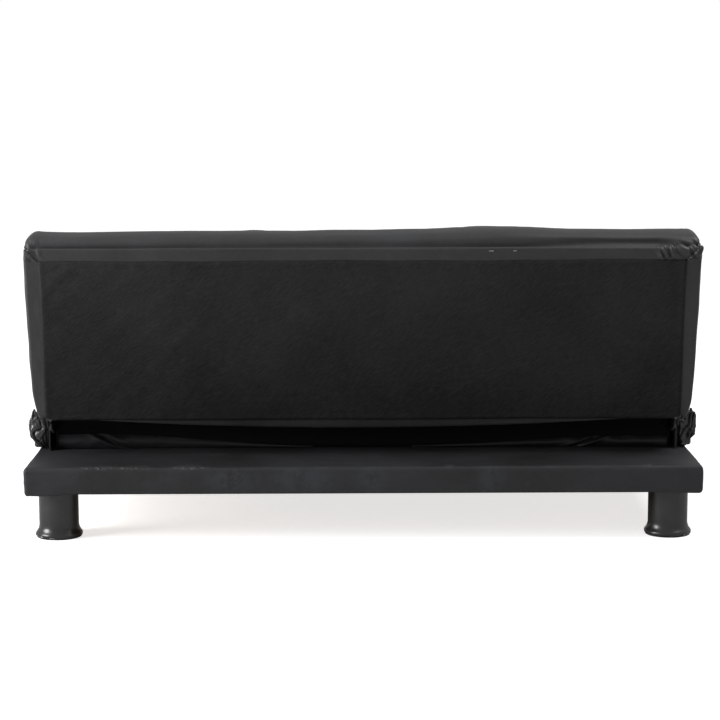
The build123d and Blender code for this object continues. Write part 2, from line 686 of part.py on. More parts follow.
def spring_end():
    """Tip of the leaf spring, just clear of the inner edge of the pawl's tail."""
    lift = PAWL_EYE * 0.4 + SPRING_STRIP / 2 + SPRING_LIFT
    along = PAWL_LEVER + PAWL_TAIL * 0.8
    spot = Rot(Z=NOSE_FLAT) * Pos(TIP_RADIUS + PAWL_OUT - lift, along)
    return (spot.position.X, spot.position.Y)


def pawl_spring():
    """Leaf spring riveted flat on the back arm, bent down to the pawl's tail."""
    tip_y, tip_z = spring_end()
    level = tip_z + SPRING_REACH / 8
    path = Polyline((tip_y, tip_z), (tip_y + SPRING_REACH / 2, level), (tip_y + SPRING_REACH, level))
    return plate(trace(path, SPRING_STRIP), (SEAT_ARM_X[0] + PAWL_SIDE_GAP, BACK_ARM_X[0]))


def spring_recess():
    """Shallow groove in the back's side rail that the leaf spring lies in."""
    tip_y, tip_z = spring_end()
    ease = SPRING_REACH / 4
    return box(
        (SEAT_ARM_X[0], BACK_FRAME_X),
        (0, tip_y + SPRING_REACH + ease / 2),
        (tip_z - ease, tip_z + SPRING_REACH / 8 + ease),
    )


def pawl_rivet():
    y, z = pawl_pivot()
    low = SEAT_ARM_X[0] + PAWL_SIDE_GAP - COVER_EASE
    shank = rod_x(RIVET_RADIUS, (low, BACK_ARM_X[1]), y, z)
    return shank + rod_x(RIVET_HEAD_RADIUS, (low - RIVET_HEAD, low), y, z)


def hinge_arms():
    for name, shape, place in (
        ("hinge_seat_arm", seat_arm(), AT_PIVOT),
        ("hinge_back_arm", back_arm(), UPRIGHT),
        ("hinge_pawl", pawl(), UPRIGHT),
    ):
        nodes[name + "_right"] = place * shape
        nodes[name + "_left"] = place * other_side(shape)
    for name, shapes, place in (
        ("seat_arm_bolts", [lag_bolt(SEAT_ARM_X[1], -1, -y, SEAT_ARM_Z) for y in ARM_BOLTS], AT_PIVOT),
        ("back_arm_bolts", [lag_bolt(BACK_ARM_X[1], -1, y, BACK_ARM_Z) for y in ARM_BOLTS], UPRIGHT),
        ("hinge_pawl_rivets", [pawl_rivet()], UPRIGHT),
        ("hinge_pawl_springs", [pawl_spring()], UPRIGHT),
    ):
        nodes[name] = group(place * one for shape in shapes for one in (shape, other_side(shape)))


base_boards()
base_cover()
base_corners()
legs()
seat()
seat_gathers()
backrest()
base_brackets()
hinge_pins()
hinge_arms()

os.makedirs("parts", exist_ok=True)
for name, solid in nodes.items():
    export_step(solid, os.path.join("parts", name + ".step"))
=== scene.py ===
# %% [markdown]
# # A black click-clack sofa bed, seen from behind
#
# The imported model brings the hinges, the timber and the legs' places. Everything soft is made again here,
# because upholstery is read by its bulges, gathers and creases and not by its measurements. Each cell makes
# one thing, says what it is on the real sofa, and prints what came out.

# %% Load the frame
import json
import math

import bmesh
import bpy
import numpy as np
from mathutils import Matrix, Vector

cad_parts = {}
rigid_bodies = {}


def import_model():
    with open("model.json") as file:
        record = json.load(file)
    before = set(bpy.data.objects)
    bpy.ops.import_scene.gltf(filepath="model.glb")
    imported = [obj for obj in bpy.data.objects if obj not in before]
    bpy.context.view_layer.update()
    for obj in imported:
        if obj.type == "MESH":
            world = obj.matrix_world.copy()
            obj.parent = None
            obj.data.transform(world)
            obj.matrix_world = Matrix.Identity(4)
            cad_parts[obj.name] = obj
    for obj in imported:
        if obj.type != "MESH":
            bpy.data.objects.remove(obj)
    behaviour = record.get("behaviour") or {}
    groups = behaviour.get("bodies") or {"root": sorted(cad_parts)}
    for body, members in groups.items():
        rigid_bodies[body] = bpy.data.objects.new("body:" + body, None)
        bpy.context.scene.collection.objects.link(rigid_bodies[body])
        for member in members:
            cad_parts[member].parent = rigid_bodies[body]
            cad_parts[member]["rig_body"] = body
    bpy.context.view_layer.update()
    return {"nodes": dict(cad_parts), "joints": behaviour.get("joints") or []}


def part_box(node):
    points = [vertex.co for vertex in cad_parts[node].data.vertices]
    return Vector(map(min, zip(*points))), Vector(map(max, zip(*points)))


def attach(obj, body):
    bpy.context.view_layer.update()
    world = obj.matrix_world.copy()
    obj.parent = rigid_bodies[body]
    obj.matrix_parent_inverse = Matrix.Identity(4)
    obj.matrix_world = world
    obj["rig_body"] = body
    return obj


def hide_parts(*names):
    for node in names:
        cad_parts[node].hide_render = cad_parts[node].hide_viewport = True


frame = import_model()
nodes = frame["nodes"]
joints = {joint["name"]: joint for joint in frame["joints"]}
PIVOT_Y, PIVOT_Z = joints["seat_lift"]["pos_m"][1:]
TURN = math.radians(joints["back_recline"]["range_deg"][1])

# %% [markdown]
# ## Two working frames
#
# Seat and backrest both hang on one pivot line, so each is easiest to draw in flat measurements from that
# line: along the cushion, and up through its thickness. The seat only has to be shifted into place. The
# backrest is drawn as if it lay flat and is then turned up by the hinge's own angle.


# %% From flat measurements to the room
def seat_place(flat):
    """Points (x, along, height) of the seat: shifted so that the pivot line is their origin."""
    return flat + np.array([0.0, PIVOT_Y, PIVOT_Z])


def back_place(flat):
    """Points of the backrest: turned about the pivot line by the recline angle, then shifted."""
    x, along, height = np.moveaxis(flat, -1, 0)
    y = along * math.cos(TURN) - height * math.sin(TURN)
    z = along * math.sin(TURN) + height * math.cos(TURN)
    return np.stack([x, PIVOT_Y + y, PIVOT_Z + z], -1)


def grid_faces(rows, columns, wrap=False):
    """Quads between neighbouring rows and columns of a grid; wrap joins the last column to the first."""
    across = np.arange(columns if wrap else columns - 1)
    first = np.arange(rows - 1)[:, None] * columns
    here, beside = first + across, first + (across + 1) % columns
    return np.stack([here, beside, beside + columns, here + columns], -1).reshape(-1, 4)


def capped(rings):
    """Points and faces of a tube of rings (rows, columns, 3), closed at each end over the ring's middle."""
    rows, columns = rings.shape[:2]
    total, ring = rows * columns, np.arange(columns)
    beside = (ring + 1) % columns
    last = total - columns
    points = np.concatenate([rings.reshape(-1, 3), [rings[0].mean(0), rings[-1].mean(0)]])
    faces = [*grid_faces(rows, columns, wrap=True)]
    faces += [*np.column_stack([np.full(columns, total), beside, ring])]
    faces += [*np.column_stack([np.full(columns, total + 1), ring + last, beside + last])]
    return points, faces


def piece_from(name, points, faces, body, material, outward=False):
    """Mesh object with its place in its vertices, shaded smooth, that rides on a body."""
    mesh = bpy.data.meshes.new(name)
    mesh.from_pydata(np.reshape(points, (-1, 3)).tolist(), [], [list(face) for face in faces])
    if outward:
        work = bmesh.new()
        work.from_mesh(mesh)
        bmesh.ops.remove_doubles(work, verts=work.verts, dist=1e-6)
        bmesh.ops.recalc_face_normals(work, faces=work.faces)
        work.to_mesh(mesh)
        work.free()
    mesh.polygons.foreach_set("use_smooth", np.ones(len(mesh.polygons), bool))
    mesh.materials.append(material)
    piece = bpy.data.objects.new(name, mesh)
    bpy.context.scene.collection.objects.link(piece)
    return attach(piece, body)


def thicken(piece, thickness, offset=0.0):
    """Gives a sheet its thickness: half to each side, or all to the inside where the offset is -1."""
    wall = piece.modifiers.new("thickness", "SOLIDIFY")
    wall.thickness, wall.offset = thickness, offset


def bake(piece):
    """The piece's mesh as its modifiers leave it, with the modifiers gone."""
    seen = piece.evaluated_get(bpy.context.evaluated_depsgraph_get())
    made = bpy.data.meshes.new_from_object(seen)
    piece.modifiers.clear()
    old, piece.data = piece.data, made
    name = old.name
    bpy.data.meshes.remove(old)
    made.name = name


def waves(points, size, seed, count=28):
    """Smooth random field, about -1 to 1: plane waves of roughly one length in seeded directions."""
    rng = np.random.default_rng(seed)
    direction = rng.normal(size=(points.shape[-1], count))
    direction *= 2 * np.pi / (size * np.linalg.norm(direction, axis=0) * rng.uniform(0.6, 1.5, count))
    phase = rng.uniform(0, 2 * np.pi, count)
    return np.sin(points @ direction + phase).sum(-1) / math.sqrt(count)


def crumple(points, size, seed, count=6):
    """Field of straight creases, about -1 to 1: triangle waves of one length in seeded directions."""
    rng = np.random.default_rng(seed)
    direction = rng.normal(size=(points.shape[-1], count))
    direction /= size * np.linalg.norm(direction, axis=0) * rng.uniform(0.7, 1.4, count)
    turn = points @ direction + rng.uniform(0, 1, count)
    return (4 * np.abs(turn - np.floor(turn + 0.5)) - 1).sum(-1) / math.sqrt(count)


def hump(values, centre, reach):
    """Bell curve: one at the centre, fading over the reach."""
    return np.exp(-(((values - centre) / reach) ** 2))


def ramp(values, low, high):
    """Nought below low, one above high, with an S-curve between them."""
    t = np.clip((values - low) / (high - low), 0, 1)
    return t * t * (3 - 2 * t)


print("frames ready; the back turns", round(math.degrees(TURN)), "degrees")

# %% [markdown]
# ## Finishes
#
# All colours are written as sRGB hex and turned to linear in one place. A node is added by one small
# function that takes its settings and what feeds its sockets, so that a material reads as a list.


# %% Colour and node helpers
def linear(code):
    """sRGB hex to linear RGBA: the standard curve, a straight toe and then a 2.4 power."""
    value = np.array([int(code[i:i + 2], 16) for i in (1, 3, 5)]) / 255
    value = np.where(value <= 0.04045, value / 12.92, ((value + 0.055) / 1.055) ** 2.4)
    return (*value.tolist(), 1.0)


def feed(tree, node, inputs):
    """Sets a node's sockets: a socket that is given is linked, and a value is set on the socket itself."""
    for key, value in inputs.items():
        if isinstance(value, bpy.types.NodeSocket):
            tree.links.new(value, node.inputs[key])
        else:
            node.inputs[key].default_value = value


def add(tree, kind, inputs=None, **settings):
    """A node of this kind: settings are its own properties, inputs are values for its sockets or links."""
    node = tree.nodes.new("ShaderNode" + kind)
    for key, value in settings.items():
        setattr(node, key, value)
    feed(tree, node, inputs or {})
    return node


def new_finish(name):
    """Empty material with its surface shader, and the place on the object that patterns read."""
    material = bpy.data.materials.new(name)
    material.use_nodes = True
    tree = material.node_tree
    return material, tree, tree.nodes["Principled BSDF"], add(tree, "TexCoord").outputs["Object"]


def tones(tree, factor, *stops):
    """Colour ramp over a factor, from (place, hex) stops."""
    node = add(tree, "ValToRGB", {"Fac": factor})
    while len(node.color_ramp.elements) < len(stops):
        node.color_ramp.elements.new(0.5)
    for element, (place, code) in zip(node.color_ramp.elements, stops):
        element.position, element.color = place, linear(code)
    return node.outputs["Color"]


# %% [markdown]
# ### Leatherette
#
# The covers are PU-coated cloth: a thin black plastic skin with an embossed pebble grain, softly shiny. Its
# blackness is mostly what it mirrors, so roughness matters more than colour. Handling leaves it a little
# greyer and duller in patches. The true pebbles are about 1 mm; they are drawn at 2.6 mm so that they show.


# %% Leatherette
def leatherette(name, dark, light, rough, sheen, dust):
    """PU-coated cloth: pebble grain in bump, slow change of tone, and handling marks of some strength."""
    material, tree, surface, place = new_finish(name)
    patches = add(tree, "TexNoise", {"Vector": place, "Scale": 1 / 0.22, "Detail": 3.0, "Roughness": 0.55})
    fine = add(tree, "TexNoise", {"Vector": place, "Scale": 1 / 0.016, "Detail": 4.0, "Roughness": 0.65})
    blend = add(tree, "Mix", {0: 0.28, 2: patches.outputs["Fac"], 3: fine.outputs["Fac"]})
    colour = tones(tree, blend.outputs[0], (0.36, dark), (0.64, light))
    smear = add(tree, "TexNoise", {"Vector": place, "Scale": 1 / 0.075, "Detail": 6.0, "Roughness": 0.7})
    marks = add(tree, "MapRange", {
        "Value": smear.outputs["Fac"], "From Min": 0.58, "From Max": 0.8, "To Max": dust,
    })
    marked_tone = add(tree, "Mix", {0: marks.outputs["Result"], 6: colour, 7: linear("#6a6d70")}, data_type="RGBA")
    gloss = add(tree, "MapRange", {
        "Value": patches.outputs["Fac"], "From Min": 0.3, "From Max": 0.7,
        "To Min": rough - 0.05, "To Max": rough + 0.07,
    })
    pebbles = add(tree, "TexVoronoi", {"Vector": place, "Scale": 1 / 0.0026, "Smoothness": 0.6},
                  feature="SMOOTH_F1")
    grain = add(tree, "Bump", {"Strength": 0.22, "Distance": 0.0005, "Height": pebbles.outputs["Distance"]})
    pucker = add(tree, "Bump", {
        "Strength": 0.25, "Distance": 0.0022,
        "Height": fine.outputs["Fac"], "Normal": grain.outputs["Normal"],
    })
    feed(tree, surface, {
        "Base Color": marked_tone.outputs[2], "Roughness": gloss.outputs["Result"],
        "Normal": pucker.outputs["Normal"], "Specular IOR Level": sheen,
    })
    return material


# Used for real lint and scuffs, and for painted shade on the boards beside the hinges
def scuffs_and_painted_shade(material, centre, reach, size, edge, code, strength):
    """Marks near one place on a finish: noise above an edge value, faded away from the centre, tints it."""
    tree = material.node_tree
    surface = tree.nodes["Principled BSDF"]
    colour = surface.inputs["Base Color"].links[0].from_socket
    place = add(tree, "TexCoord").outputs["Object"]
    near = add(tree, "Mapping", {
        "Vector": place,
        "Location": [-c / r for c, r in zip(centre, reach)], "Scale": [1 / r for r in reach],
    })
    away = add(tree, "VectorMath", {0: near.outputs["Vector"]}, operation="LENGTH")
    fade = add(tree, "MapRange", {"Value": away.outputs["Value"], "From Min": 0.4, "From Max": 1.0,
                                  "To Min": strength, "To Max": 0.0})
    noise = add(tree, "TexNoise", {"Vector": place, "Scale": 1 / size, "Detail": 6.0, "Roughness": 0.75})
    marks = add(tree, "MapRange", {"Value": noise.outputs["Fac"], "From Min": edge, "From Max": edge + 0.1})
    mask = add(tree, "Math", {0: fade.outputs["Result"], 1: marks.outputs["Result"]}, operation="MULTIPLY")
    mixed = add(tree, "Mix", {0: mask.outputs[0], 6: colour, 7: linear(code)}, data_type="RGBA")
    feed(tree, surface, {"Base Color": mixed.outputs[2]})


back_leather = leatherette("PU leatherette back", "#2b2b2c", "#363738", 0.46, 0.42, 0.10)
seat_leather = leatherette("PU leatherette seat", "#2a2a2b", "#353637", 0.44, 0.42, 0.08)
base_leather = leatherette("PU leatherette base", "#232324", "#2d2e30", 0.52, 0.31, 0.14)
# Painted shade: gathers and drapes are the seat's own cover, coloured darker than it because they lie in
# shade under the backrest
shaded_gather_leather = leatherette("PU leatherette gathers", "#18181a", "#242426", 0.29, 0.60, 0.10)
shaded_drape_leather = leatherette("PU leatherette drapes", "#1b1b1d", "#242427", 0.50, 0.30, 0.04)

# Lint and rubbed spots along the base's rear top edge, then hand smears on its rear face
for x, reach in ((0.655, 0.07), (0.57, 0.05), (0.435, 0.055), (-0.213, 0.016), (-0.713, 0.016)):
    scuffs_and_painted_shade(base_leather, (x, 0.374, 0.188), (reach, 0.03, 0.006), 0.007, 0.50, "#8a8c8e", 0.34)
for x, reach in ((0.33, 0.055), (0.15, 0.07), (-0.02, 0.035), (-0.32, 0.03)):
    scuffs_and_painted_shade(base_leather, (x, 0.38, 0.158), (reach * 1.5, 0.02, 0.045), 0.035, 0.42, "#59616a", 0.13)
print("leatherette made in five cuts")

# %% [markdown]
# ### Non-woven cloth
#
# Rear panel, dust cover and lining are spun-bonded polypropylene: felted fibres pressed flat, matte and
# almost black. The fibres run on a slant, so one noise is squeezed along a diagonal. Real fibres are far too
# thin to see, and the bundles are drawn 3 mm wide and 14 mm long.


# %% Non-woven
def nonwoven(name, dark, light, depth, turn, dust):
    """Felted fibres: noise stretched along a slant sets tone and bump; dust sets painted light, paler higher
    up and darker lower down.
    """
    material, tree, surface, place = new_finish(name)
    slant = add(tree, "Mapping", {
        "Vector": place, "Rotation": (0, turn, 0), "Scale": (0.016, 0.012, 0.0032),
    }, vector_type="TEXTURE")
    fibres = add(tree, "TexNoise", {
        "Vector": slant.outputs["Vector"], "Scale": 1.0, "Detail": 5.0, "Roughness": 0.7,
    })
    cloud = add(tree, "TexNoise", {"Vector": place, "Scale": 1 / 0.3, "Detail": 4.0, "Roughness": 0.6})
    blend = add(tree, "Mix", {0: 0.40, 2: fibres.outputs["Fac"], 3: cloud.outputs["Fac"]})
    height = add(tree, "SeparateXYZ", {"Vector": place}).outputs["Z"]
    # Painted light: the tone is raised towards the top of the sofa and lowered towards the floor
    painted_top_light = add(tree, "MapRange", {
        "Value": height, "From Min": 0.30, "From Max": 0.72, "To Min": -dust, "To Max": dust,
    })
    blend = add(tree, "Math", {0: blend.outputs[0], 1: painted_top_light.outputs["Result"]}, operation="ADD")
    colour = tones(tree, blend.outputs[0], (0.34, dark), (0.66, light))
    felt = add(tree, "Bump", {"Strength": 0.5, "Distance": depth, "Height": fibres.outputs["Fac"]})
    feed(tree, surface, {
        "Base Color": colour, "Roughness": 0.85, "Specular IOR Level": 0.20,
        "Normal": felt.outputs["Normal"],
    })
    return material


# The rear panel's 0.09 is painted light: its cloth is paler at the top and darker at the bottom
panel_cloth = nonwoven("Spun-bonded panel cloth", "#161616", "#313131", 0.0018, math.radians(35), 0.09)
dust_cloth = nonwoven("Spun-bonded dust cover", "#191919", "#242424", 0.0008, math.radians(-20), 0.0)
# Painted shade: the lining is coloured nearly black, the shade of the gap under the backrest and of the hinge
# pockets
shaded_lining_cloth = nonwoven("Black lining cloth", "#060606", "#0b0b0b", 0.0006, math.radians(10), 0.0)
print("non-woven made in three weights")

# %% [markdown]
# ### Hard finishes
#
# The legs are injection-moulded black polypropylene with a soft gloss and pale specks low on their rims.
# Hinge plates are black-enamelled steel, rubbed grey in places; bolts and pins are zinc-plated. The hidden
# boards are sawn pine and plywood, whose rings are a wave bent by noise.


# %% Legs, steel, zinc
def moulded_plastic(name):
    """Moulded polypropylene: fine orange peel, faint sink marks, pale specks low on the rim."""
    material, tree, surface, place = new_finish(name)
    height = add(tree, "SeparateXYZ", {"Vector": place}).outputs["Z"]
    rim_specks = add(tree, "TexNoise", {"Vector": place, "Scale": 1 / 0.016, "Detail": 7.0, "Roughness": 0.7})
    low = add(tree, "MapRange", {
        "Value": height, "From Min": 0.002, "From Max": 0.010, "To Min": 0.14, "To Max": -0.10,
    })
    rim_specks = add(tree, "Math", {0: rim_specks.outputs["Fac"], 1: low.outputs["Result"]}, operation="ADD")
    specked_rim = add(tree, "MapRange", {"Value": rim_specks.outputs[0], "From Min": 0.62, "From Max": 0.66})
    streak = add(tree, "TexNoise", {"Vector": place, "Scale": 1 / 0.05, "Detail": 3.0})
    body = tones(tree, streak.outputs["Fac"], (0.35, "#1c1c1d"), (0.65, "#252627"))
    marked_tone = add(tree, "Mix", {0: specked_rim.outputs["Result"], 6: body, 7: linear("#a5a5a3")}, data_type="RGBA")
    gloss = add(tree, "MapRange", {"Value": streak.outputs["Fac"], "To Min": 0.24, "To Max": 0.38})
    peel = add(tree, "TexNoise", {"Vector": place, "Scale": 1 / 0.004, "Detail": 2.0})
    skin = add(tree, "Bump", {"Strength": 0.12, "Distance": 0.0004, "Height": peel.outputs["Fac"]})
    feed(tree, surface, {
        "Base Color": marked_tone.outputs[2], "Roughness": gloss.outputs["Result"],
        "Normal": skin.outputs["Normal"], "IOR": 1.49, "Specular IOR Level": 0.58,
    })
    return material


def enamelled_steel(name):
    """Baked black enamel over steel: orange peel, with rubbed patches that show a greyer tone."""
    material, tree, surface, place = new_finish(name)
    rub = add(tree, "TexNoise", {"Vector": place, "Scale": 1 / 0.012, "Detail": 6.0, "Roughness": 0.7})
    colour = tones(tree, rub.outputs["Fac"], (0.0, "#0a0a0b"), (0.64, "#101011"), (0.80, "#3a3b3e"))
    gloss = add(tree, "MapRange", {"Value": rub.outputs["Fac"], "To Min": 0.45, "To Max": 0.60})
    peel = add(tree, "Bump", {"Strength": 0.15, "Distance": 0.0003, "Height": rub.outputs["Fac"]})
    feed(tree, surface, {
        "Base Color": colour, "Roughness": gloss.outputs["Result"], "Normal": peel.outputs["Normal"],
    })
    return material


def zinc_plate(name):
    """Zinc-plated steel: bright grey metal with a cloudy spangle."""
    material, tree, surface, place = new_finish(name)
    spangle = add(tree, "TexVoronoi", {"Vector": place, "Scale": 1 / 0.004})
    colour = tones(tree, spangle.outputs["Distance"], (0.1, "#8e9296"), (0.8, "#c3c6c8"))
    gloss = add(tree, "MapRange", {"Value": spangle.outputs["Distance"], "To Min": 0.28, "To Max": 0.45})
    feed(tree, surface, {"Base Color": colour, "Roughness": gloss.outputs["Result"], "Metallic": 1.0})
    return material


leg_plastic = moulded_plastic("Moulded polypropylene legs")
hinge_enamel = enamelled_steel("Black enamelled steel")
zinc = zinc_plate("Zinc-plated steel")
print("plastic, enamel and zinc made")


# %% Timber, foam and small stuff
def sawn_timber(name, light, dark, ring, along):
    """Sawn boards: growth rings as bands bent by noise, long in the board's direction."""
    material, tree, surface, place = new_finish(name)
    squeeze = [1.0, 1.0, 1.0]
    squeeze[along] = 0.08
    stretched = add(tree, "Mapping", {"Vector": place, "Scale": squeeze})
    rings = add(tree, "TexWave", {
        "Vector": stretched.outputs["Vector"], "Scale": 1 / (ring * 20),
        "Distortion": 6.0, "Detail": 3.0, "Detail Scale": 1.5,
    }, bands_direction="DIAGONAL")
    pores = add(tree, "TexNoise", {
        "Vector": stretched.outputs["Vector"], "Scale": 1 / 0.0025, "Detail": 3.0,
    })
    blend = add(tree, "Mix", {0: 0.35, 2: rings.outputs["Fac"], 3: pores.outputs["Fac"]})
    colour = tones(tree, blend.outputs[0], (0.15, light), (0.85, dark))
    saw = add(tree, "Bump", {"Strength": 0.25, "Distance": 0.0006, "Height": pores.outputs["Fac"]})
    feed(tree, surface, {"Base Color": colour, "Roughness": 0.72, "Normal": saw.outputs["Normal"]})
    return material


def mottled(name, dark, light, size, rough):
    """Plain matte stuff with a fine mottle: felt pads, foam, elastic webbing, nylon."""
    material, tree, surface, place = new_finish(name)
    fleck = add(tree, "TexNoise", {"Vector": place, "Scale": 1 / size, "Detail": 5.0, "Roughness": 0.65})
    colour = tones(tree, fleck.outputs["Fac"], (0.35, dark), (0.65, light))
    nap = add(tree, "Bump", {"Strength": 0.4, "Distance": size / 4, "Height": fleck.outputs["Fac"]})
    feed(tree, surface, {"Base Color": colour, "Roughness": rough, "Normal": nap.outputs["Normal"]})
    return material


pine_x = sawn_timber("Sawn pine along the sofa", "#c9a877", "#a17a4b", 0.006, 0)
pine_y = sawn_timber("Sawn pine across the sofa", "#c9a877", "#a17a4b", 0.006, 1)
pine_shaded_ends = sawn_timber("Sawn pine, ends painted black", "#c9a877", "#a17a4b", 0.006, 1)
pine_z = sawn_timber("Sawn pine upright", "#c9a877", "#a17a4b", 0.006, 2)
# Painted shade: boards that end beside a hinge are coloured black there, as the shade in its slot, so that
# they don't show in it
for x in (-0.80, 0.80):
    for board, z in ((pine_shaded_ends, 0.225), (pine_x, 0.30), (pine_z, 0.32)):
        scuffs_and_painted_shade(board, (x, 0.14, z), (0.05, 0.12, 0.12), 0.1, -1.0, "#070707", 1.0)
plywood = sawn_timber("Poplar plywood", "#c2a06f", "#a9845a", 0.011, 0)
felt = mottled("Pressed felt", "#1b1b1b", "#2c2c2c", 0.002, 0.95)
foam = mottled("Polyurethane foam", "#d8cfae", "#e6dec2", 0.003, 0.9)
webbing = mottled("Elastic webbing", "#1d1d1d", "#2b2b2b", 0.0025, 0.8)
nylon = mottled("Nylon", "#d0cfc8", "#dcdbd5", 0.003, 0.45)
print("timber, felt, foam, webbing and nylon made")

# %% [markdown]
# ## How a cushion is drawn
#
# A cushion here is one closed profile, its side view, carried along the sofa. The profile is a closed cubic
# B-spline, so a few control points give the crown, the nose and the flat that lies on timber. At each end the
# controls round inward by their own radius, tight where leather is stapled to the frame and wide where only
# foam fills it, and then the end closes over in rings.


# %% Spline loop and carried profile
def loop_weights(count, places):
    """Weights of a closed uniform cubic B-spline: each place mixes the four controls around it."""
    whole = np.floor(places).astype(int)
    t = places - whole
    parts = ((1 - t) ** 3, 3 * t ** 3 - 6 * t ** 2 + 4, 3 * (t + t ** 2 - t ** 3) + 1, t ** 3)
    weights = np.zeros((len(places), count))
    for step, part in enumerate(parts):
        np.add.at(weights, (np.arange(len(places)), (whole + step - 1) % count), part / 6)
    return weights


def even_places(controls, samples, dense):
    """Places on the spline that are the same arc length apart, closer where the density is above one."""
    fine = np.linspace(0, len(controls), 6001)
    weights = loop_weights(len(controls), fine)
    step = np.linalg.norm(np.diff(weights @ controls, axis=0), axis=1) * (weights @ dense)[1:]
    run = np.append(0, np.cumsum(step))
    return np.interp(np.linspace(0, run[-1], samples, endpoint=False), run, fine)


def inward(controls):
    """Unit normals of a closed, clockwise or not, control loop, turned to its inside."""
    along = np.roll(controls, -1, 0) - np.roll(controls, 1, 0)
    normal = np.stack([-along[:, 1], along[:, 0]], -1)
    normal /= np.linalg.norm(normal, axis=1, keepdims=True)
    first, second = controls.T
    area = np.sum(first * np.roll(second, -1) - second * np.roll(first, -1))
    return normal * np.sign(area)


def carried(profile, across, radius, half, swell, samples, dense, rounding=7, cap=7):
    """Tube of rings: controls (count, rows, 2) set at across * (half - radius), ends rounded and drawn in.

    In the rounding a control moves out as radius * sin and in as radius * (1 - cos); in the cap the ring
    shrinks to its middle while it swells out by a parabola. Returns flat points (rows, columns, 3)."""
    rows = []
    angle = np.linspace(0, np.pi / 2, rounding + 1)[1:]
    shrink = np.linspace(0, 0.94, cap + 1)[1:]
    for side, end in ((-1, profile[:, 0]), (1, profile[:, -1])):
        turn_in = inward(end) * radius[:, None]
        rim = end + turn_in
        middle = rim.mean(0)
        block = []
        for a in angle:
            out = half - radius + radius * math.sin(a)
            block.append(np.column_stack([side * out, end + turn_in * (1 - math.cos(a))]))
        for k in shrink:
            out = half + swell * (1 - (1 - k) ** 2)
            block.append(np.column_stack([side * out, middle + (rim - middle) * (1 - k)]))
        rows.append(block)
    body = [np.column_stack([a * (half - radius), profile[:, index]]) for index, a in enumerate(across)]
    controls = np.stack(rows[0][::-1] + body + rows[1], 1)
    weights = loop_weights(len(profile), even_places(profile[:, len(across) // 2], samples, dense))
    return np.einsum("sk,krd->rsd", weights, controls)


print("spline loop ready")

# %% [markdown]
# ## How leather is filled
#
# Upholstery looks filled because the foam presses the cover out everywhere that it isn't sewn or stapled.
# Blender's cloth does just that: a pressure from inside, with the sewn lines and the frame side pinned. A
# cap on the movement keeps the cushion in the room that its solid holds.


# %% Pressure
def fill(piece, held, pressure, limit, shrink=-0.012, frames=20):
    """Cloth pressed out from inside for some frames; held points stay, none moves past the limit."""
    mesh = piece.data
    before = np.empty(len(mesh.vertices) * 3)
    mesh.vertices.foreach_get("co", before)
    group = piece.vertex_groups.new(name="held")
    for weight in np.unique(np.round(held, 1)):
        if weight > 0:
            group.add(np.nonzero(np.round(held, 1) == weight)[0].tolist(), float(weight), "REPLACE")
    cloth = piece.modifiers.new("pressure", "CLOTH")
    settings = cloth.settings
    settings.quality = 6
    settings.mass = 0.35
    settings.tension_stiffness = settings.compression_stiffness = 18
    settings.shear_stiffness = 8
    settings.bending_stiffness = 0.6
    settings.vertex_group_mass = "held"
    settings.use_pressure = True
    settings.uniform_pressure_force = pressure
    settings.shrink_min = shrink
    settings.effector_weights.gravity = 0
    cloth.collision_settings.use_collision = False
    scene = bpy.context.scene
    for frame_number in range(1, frames + 1):
        scene.frame_set(frame_number)
    seen = piece.evaluated_get(bpy.context.evaluated_depsgraph_get())
    after = np.empty_like(before)
    seen.data.vertices.foreach_get("co", after)
    scene.frame_set(1)
    piece.modifiers.remove(cloth)
    piece.vertex_groups.remove(group)
    move = (after - before).reshape(-1, 3)
    size = np.linalg.norm(move, axis=1, keepdims=True)
    move *= np.minimum(1, limit / np.maximum(size, 1e-9))
    mesh.vertices.foreach_set("co", (before.reshape(-1, 3) + move).ravel())
    mesh.update()
    return float(size.max())


BOX_FACES = np.array([(0, 1, 3, 2), (4, 6, 7, 5), (0, 4, 5, 1), (2, 3, 7, 6), (0, 2, 6, 4), (1, 5, 7, 3)])


def cut_pockets(piece, place, *slots):
    """Cuts slots, alike at both ends, that the hinge plates need: each is three flat (low, high) pairs."""
    cutters = []
    for side, (across, along, height) in ((side, slot) for slot in slots for side in (-1, 1)):
        corners = np.array([[side * x, a, h] for x in across for a in along for h in height])
        # The slot walls take the lining's near-black colour: painted shade in the pockets
        cutter = piece_from(
            f"{piece.name}_slot", place(corners), BOX_FACES, piece["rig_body"], shaded_lining_cloth, outward=True
        )
        cutter.data.polygons.foreach_set("use_smooth", np.zeros(6, bool))
        slot = piece.modifiers.new("slot", "BOOLEAN")
        slot.object, slot.operation, slot.solver = cutter, "DIFFERENCE", "EXACT"
        slot.material_mode = "TRANSFER"
        cutters.append(cutter)
    bake(piece)
    for cutter in cutters:
        bpy.data.objects.remove(cutter)


seat_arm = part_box("hinge_seat_arm_right")
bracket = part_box("hinge_bracket_right")
HINGE_SLOT = (seat_arm[0].x - 0.005, bracket[1].x + 0.005)
BRACKET_SLIT = (bracket[0].x - 0.0015, bracket[1].x + 0.0015)
print("hinge slots from", [round(x, 4) for x in HINGE_SLOT])

# %% [markdown]
# ## Backrest cushion
#
# The rear of the backrest is leather drawn over a timber edge and stapled, so its corners are tight. Above
# that edge a foam roll stands up, with a dark groove between the two where the staples pull. The roll isn't
# straight: it stands a little higher right of the middle. In front, three sewn panels swell out. At the heel
# the slack leather sags in a long shallow roll under the rear panel, and between the hinges it reaches down
# to the lining, so that the crease is closed.

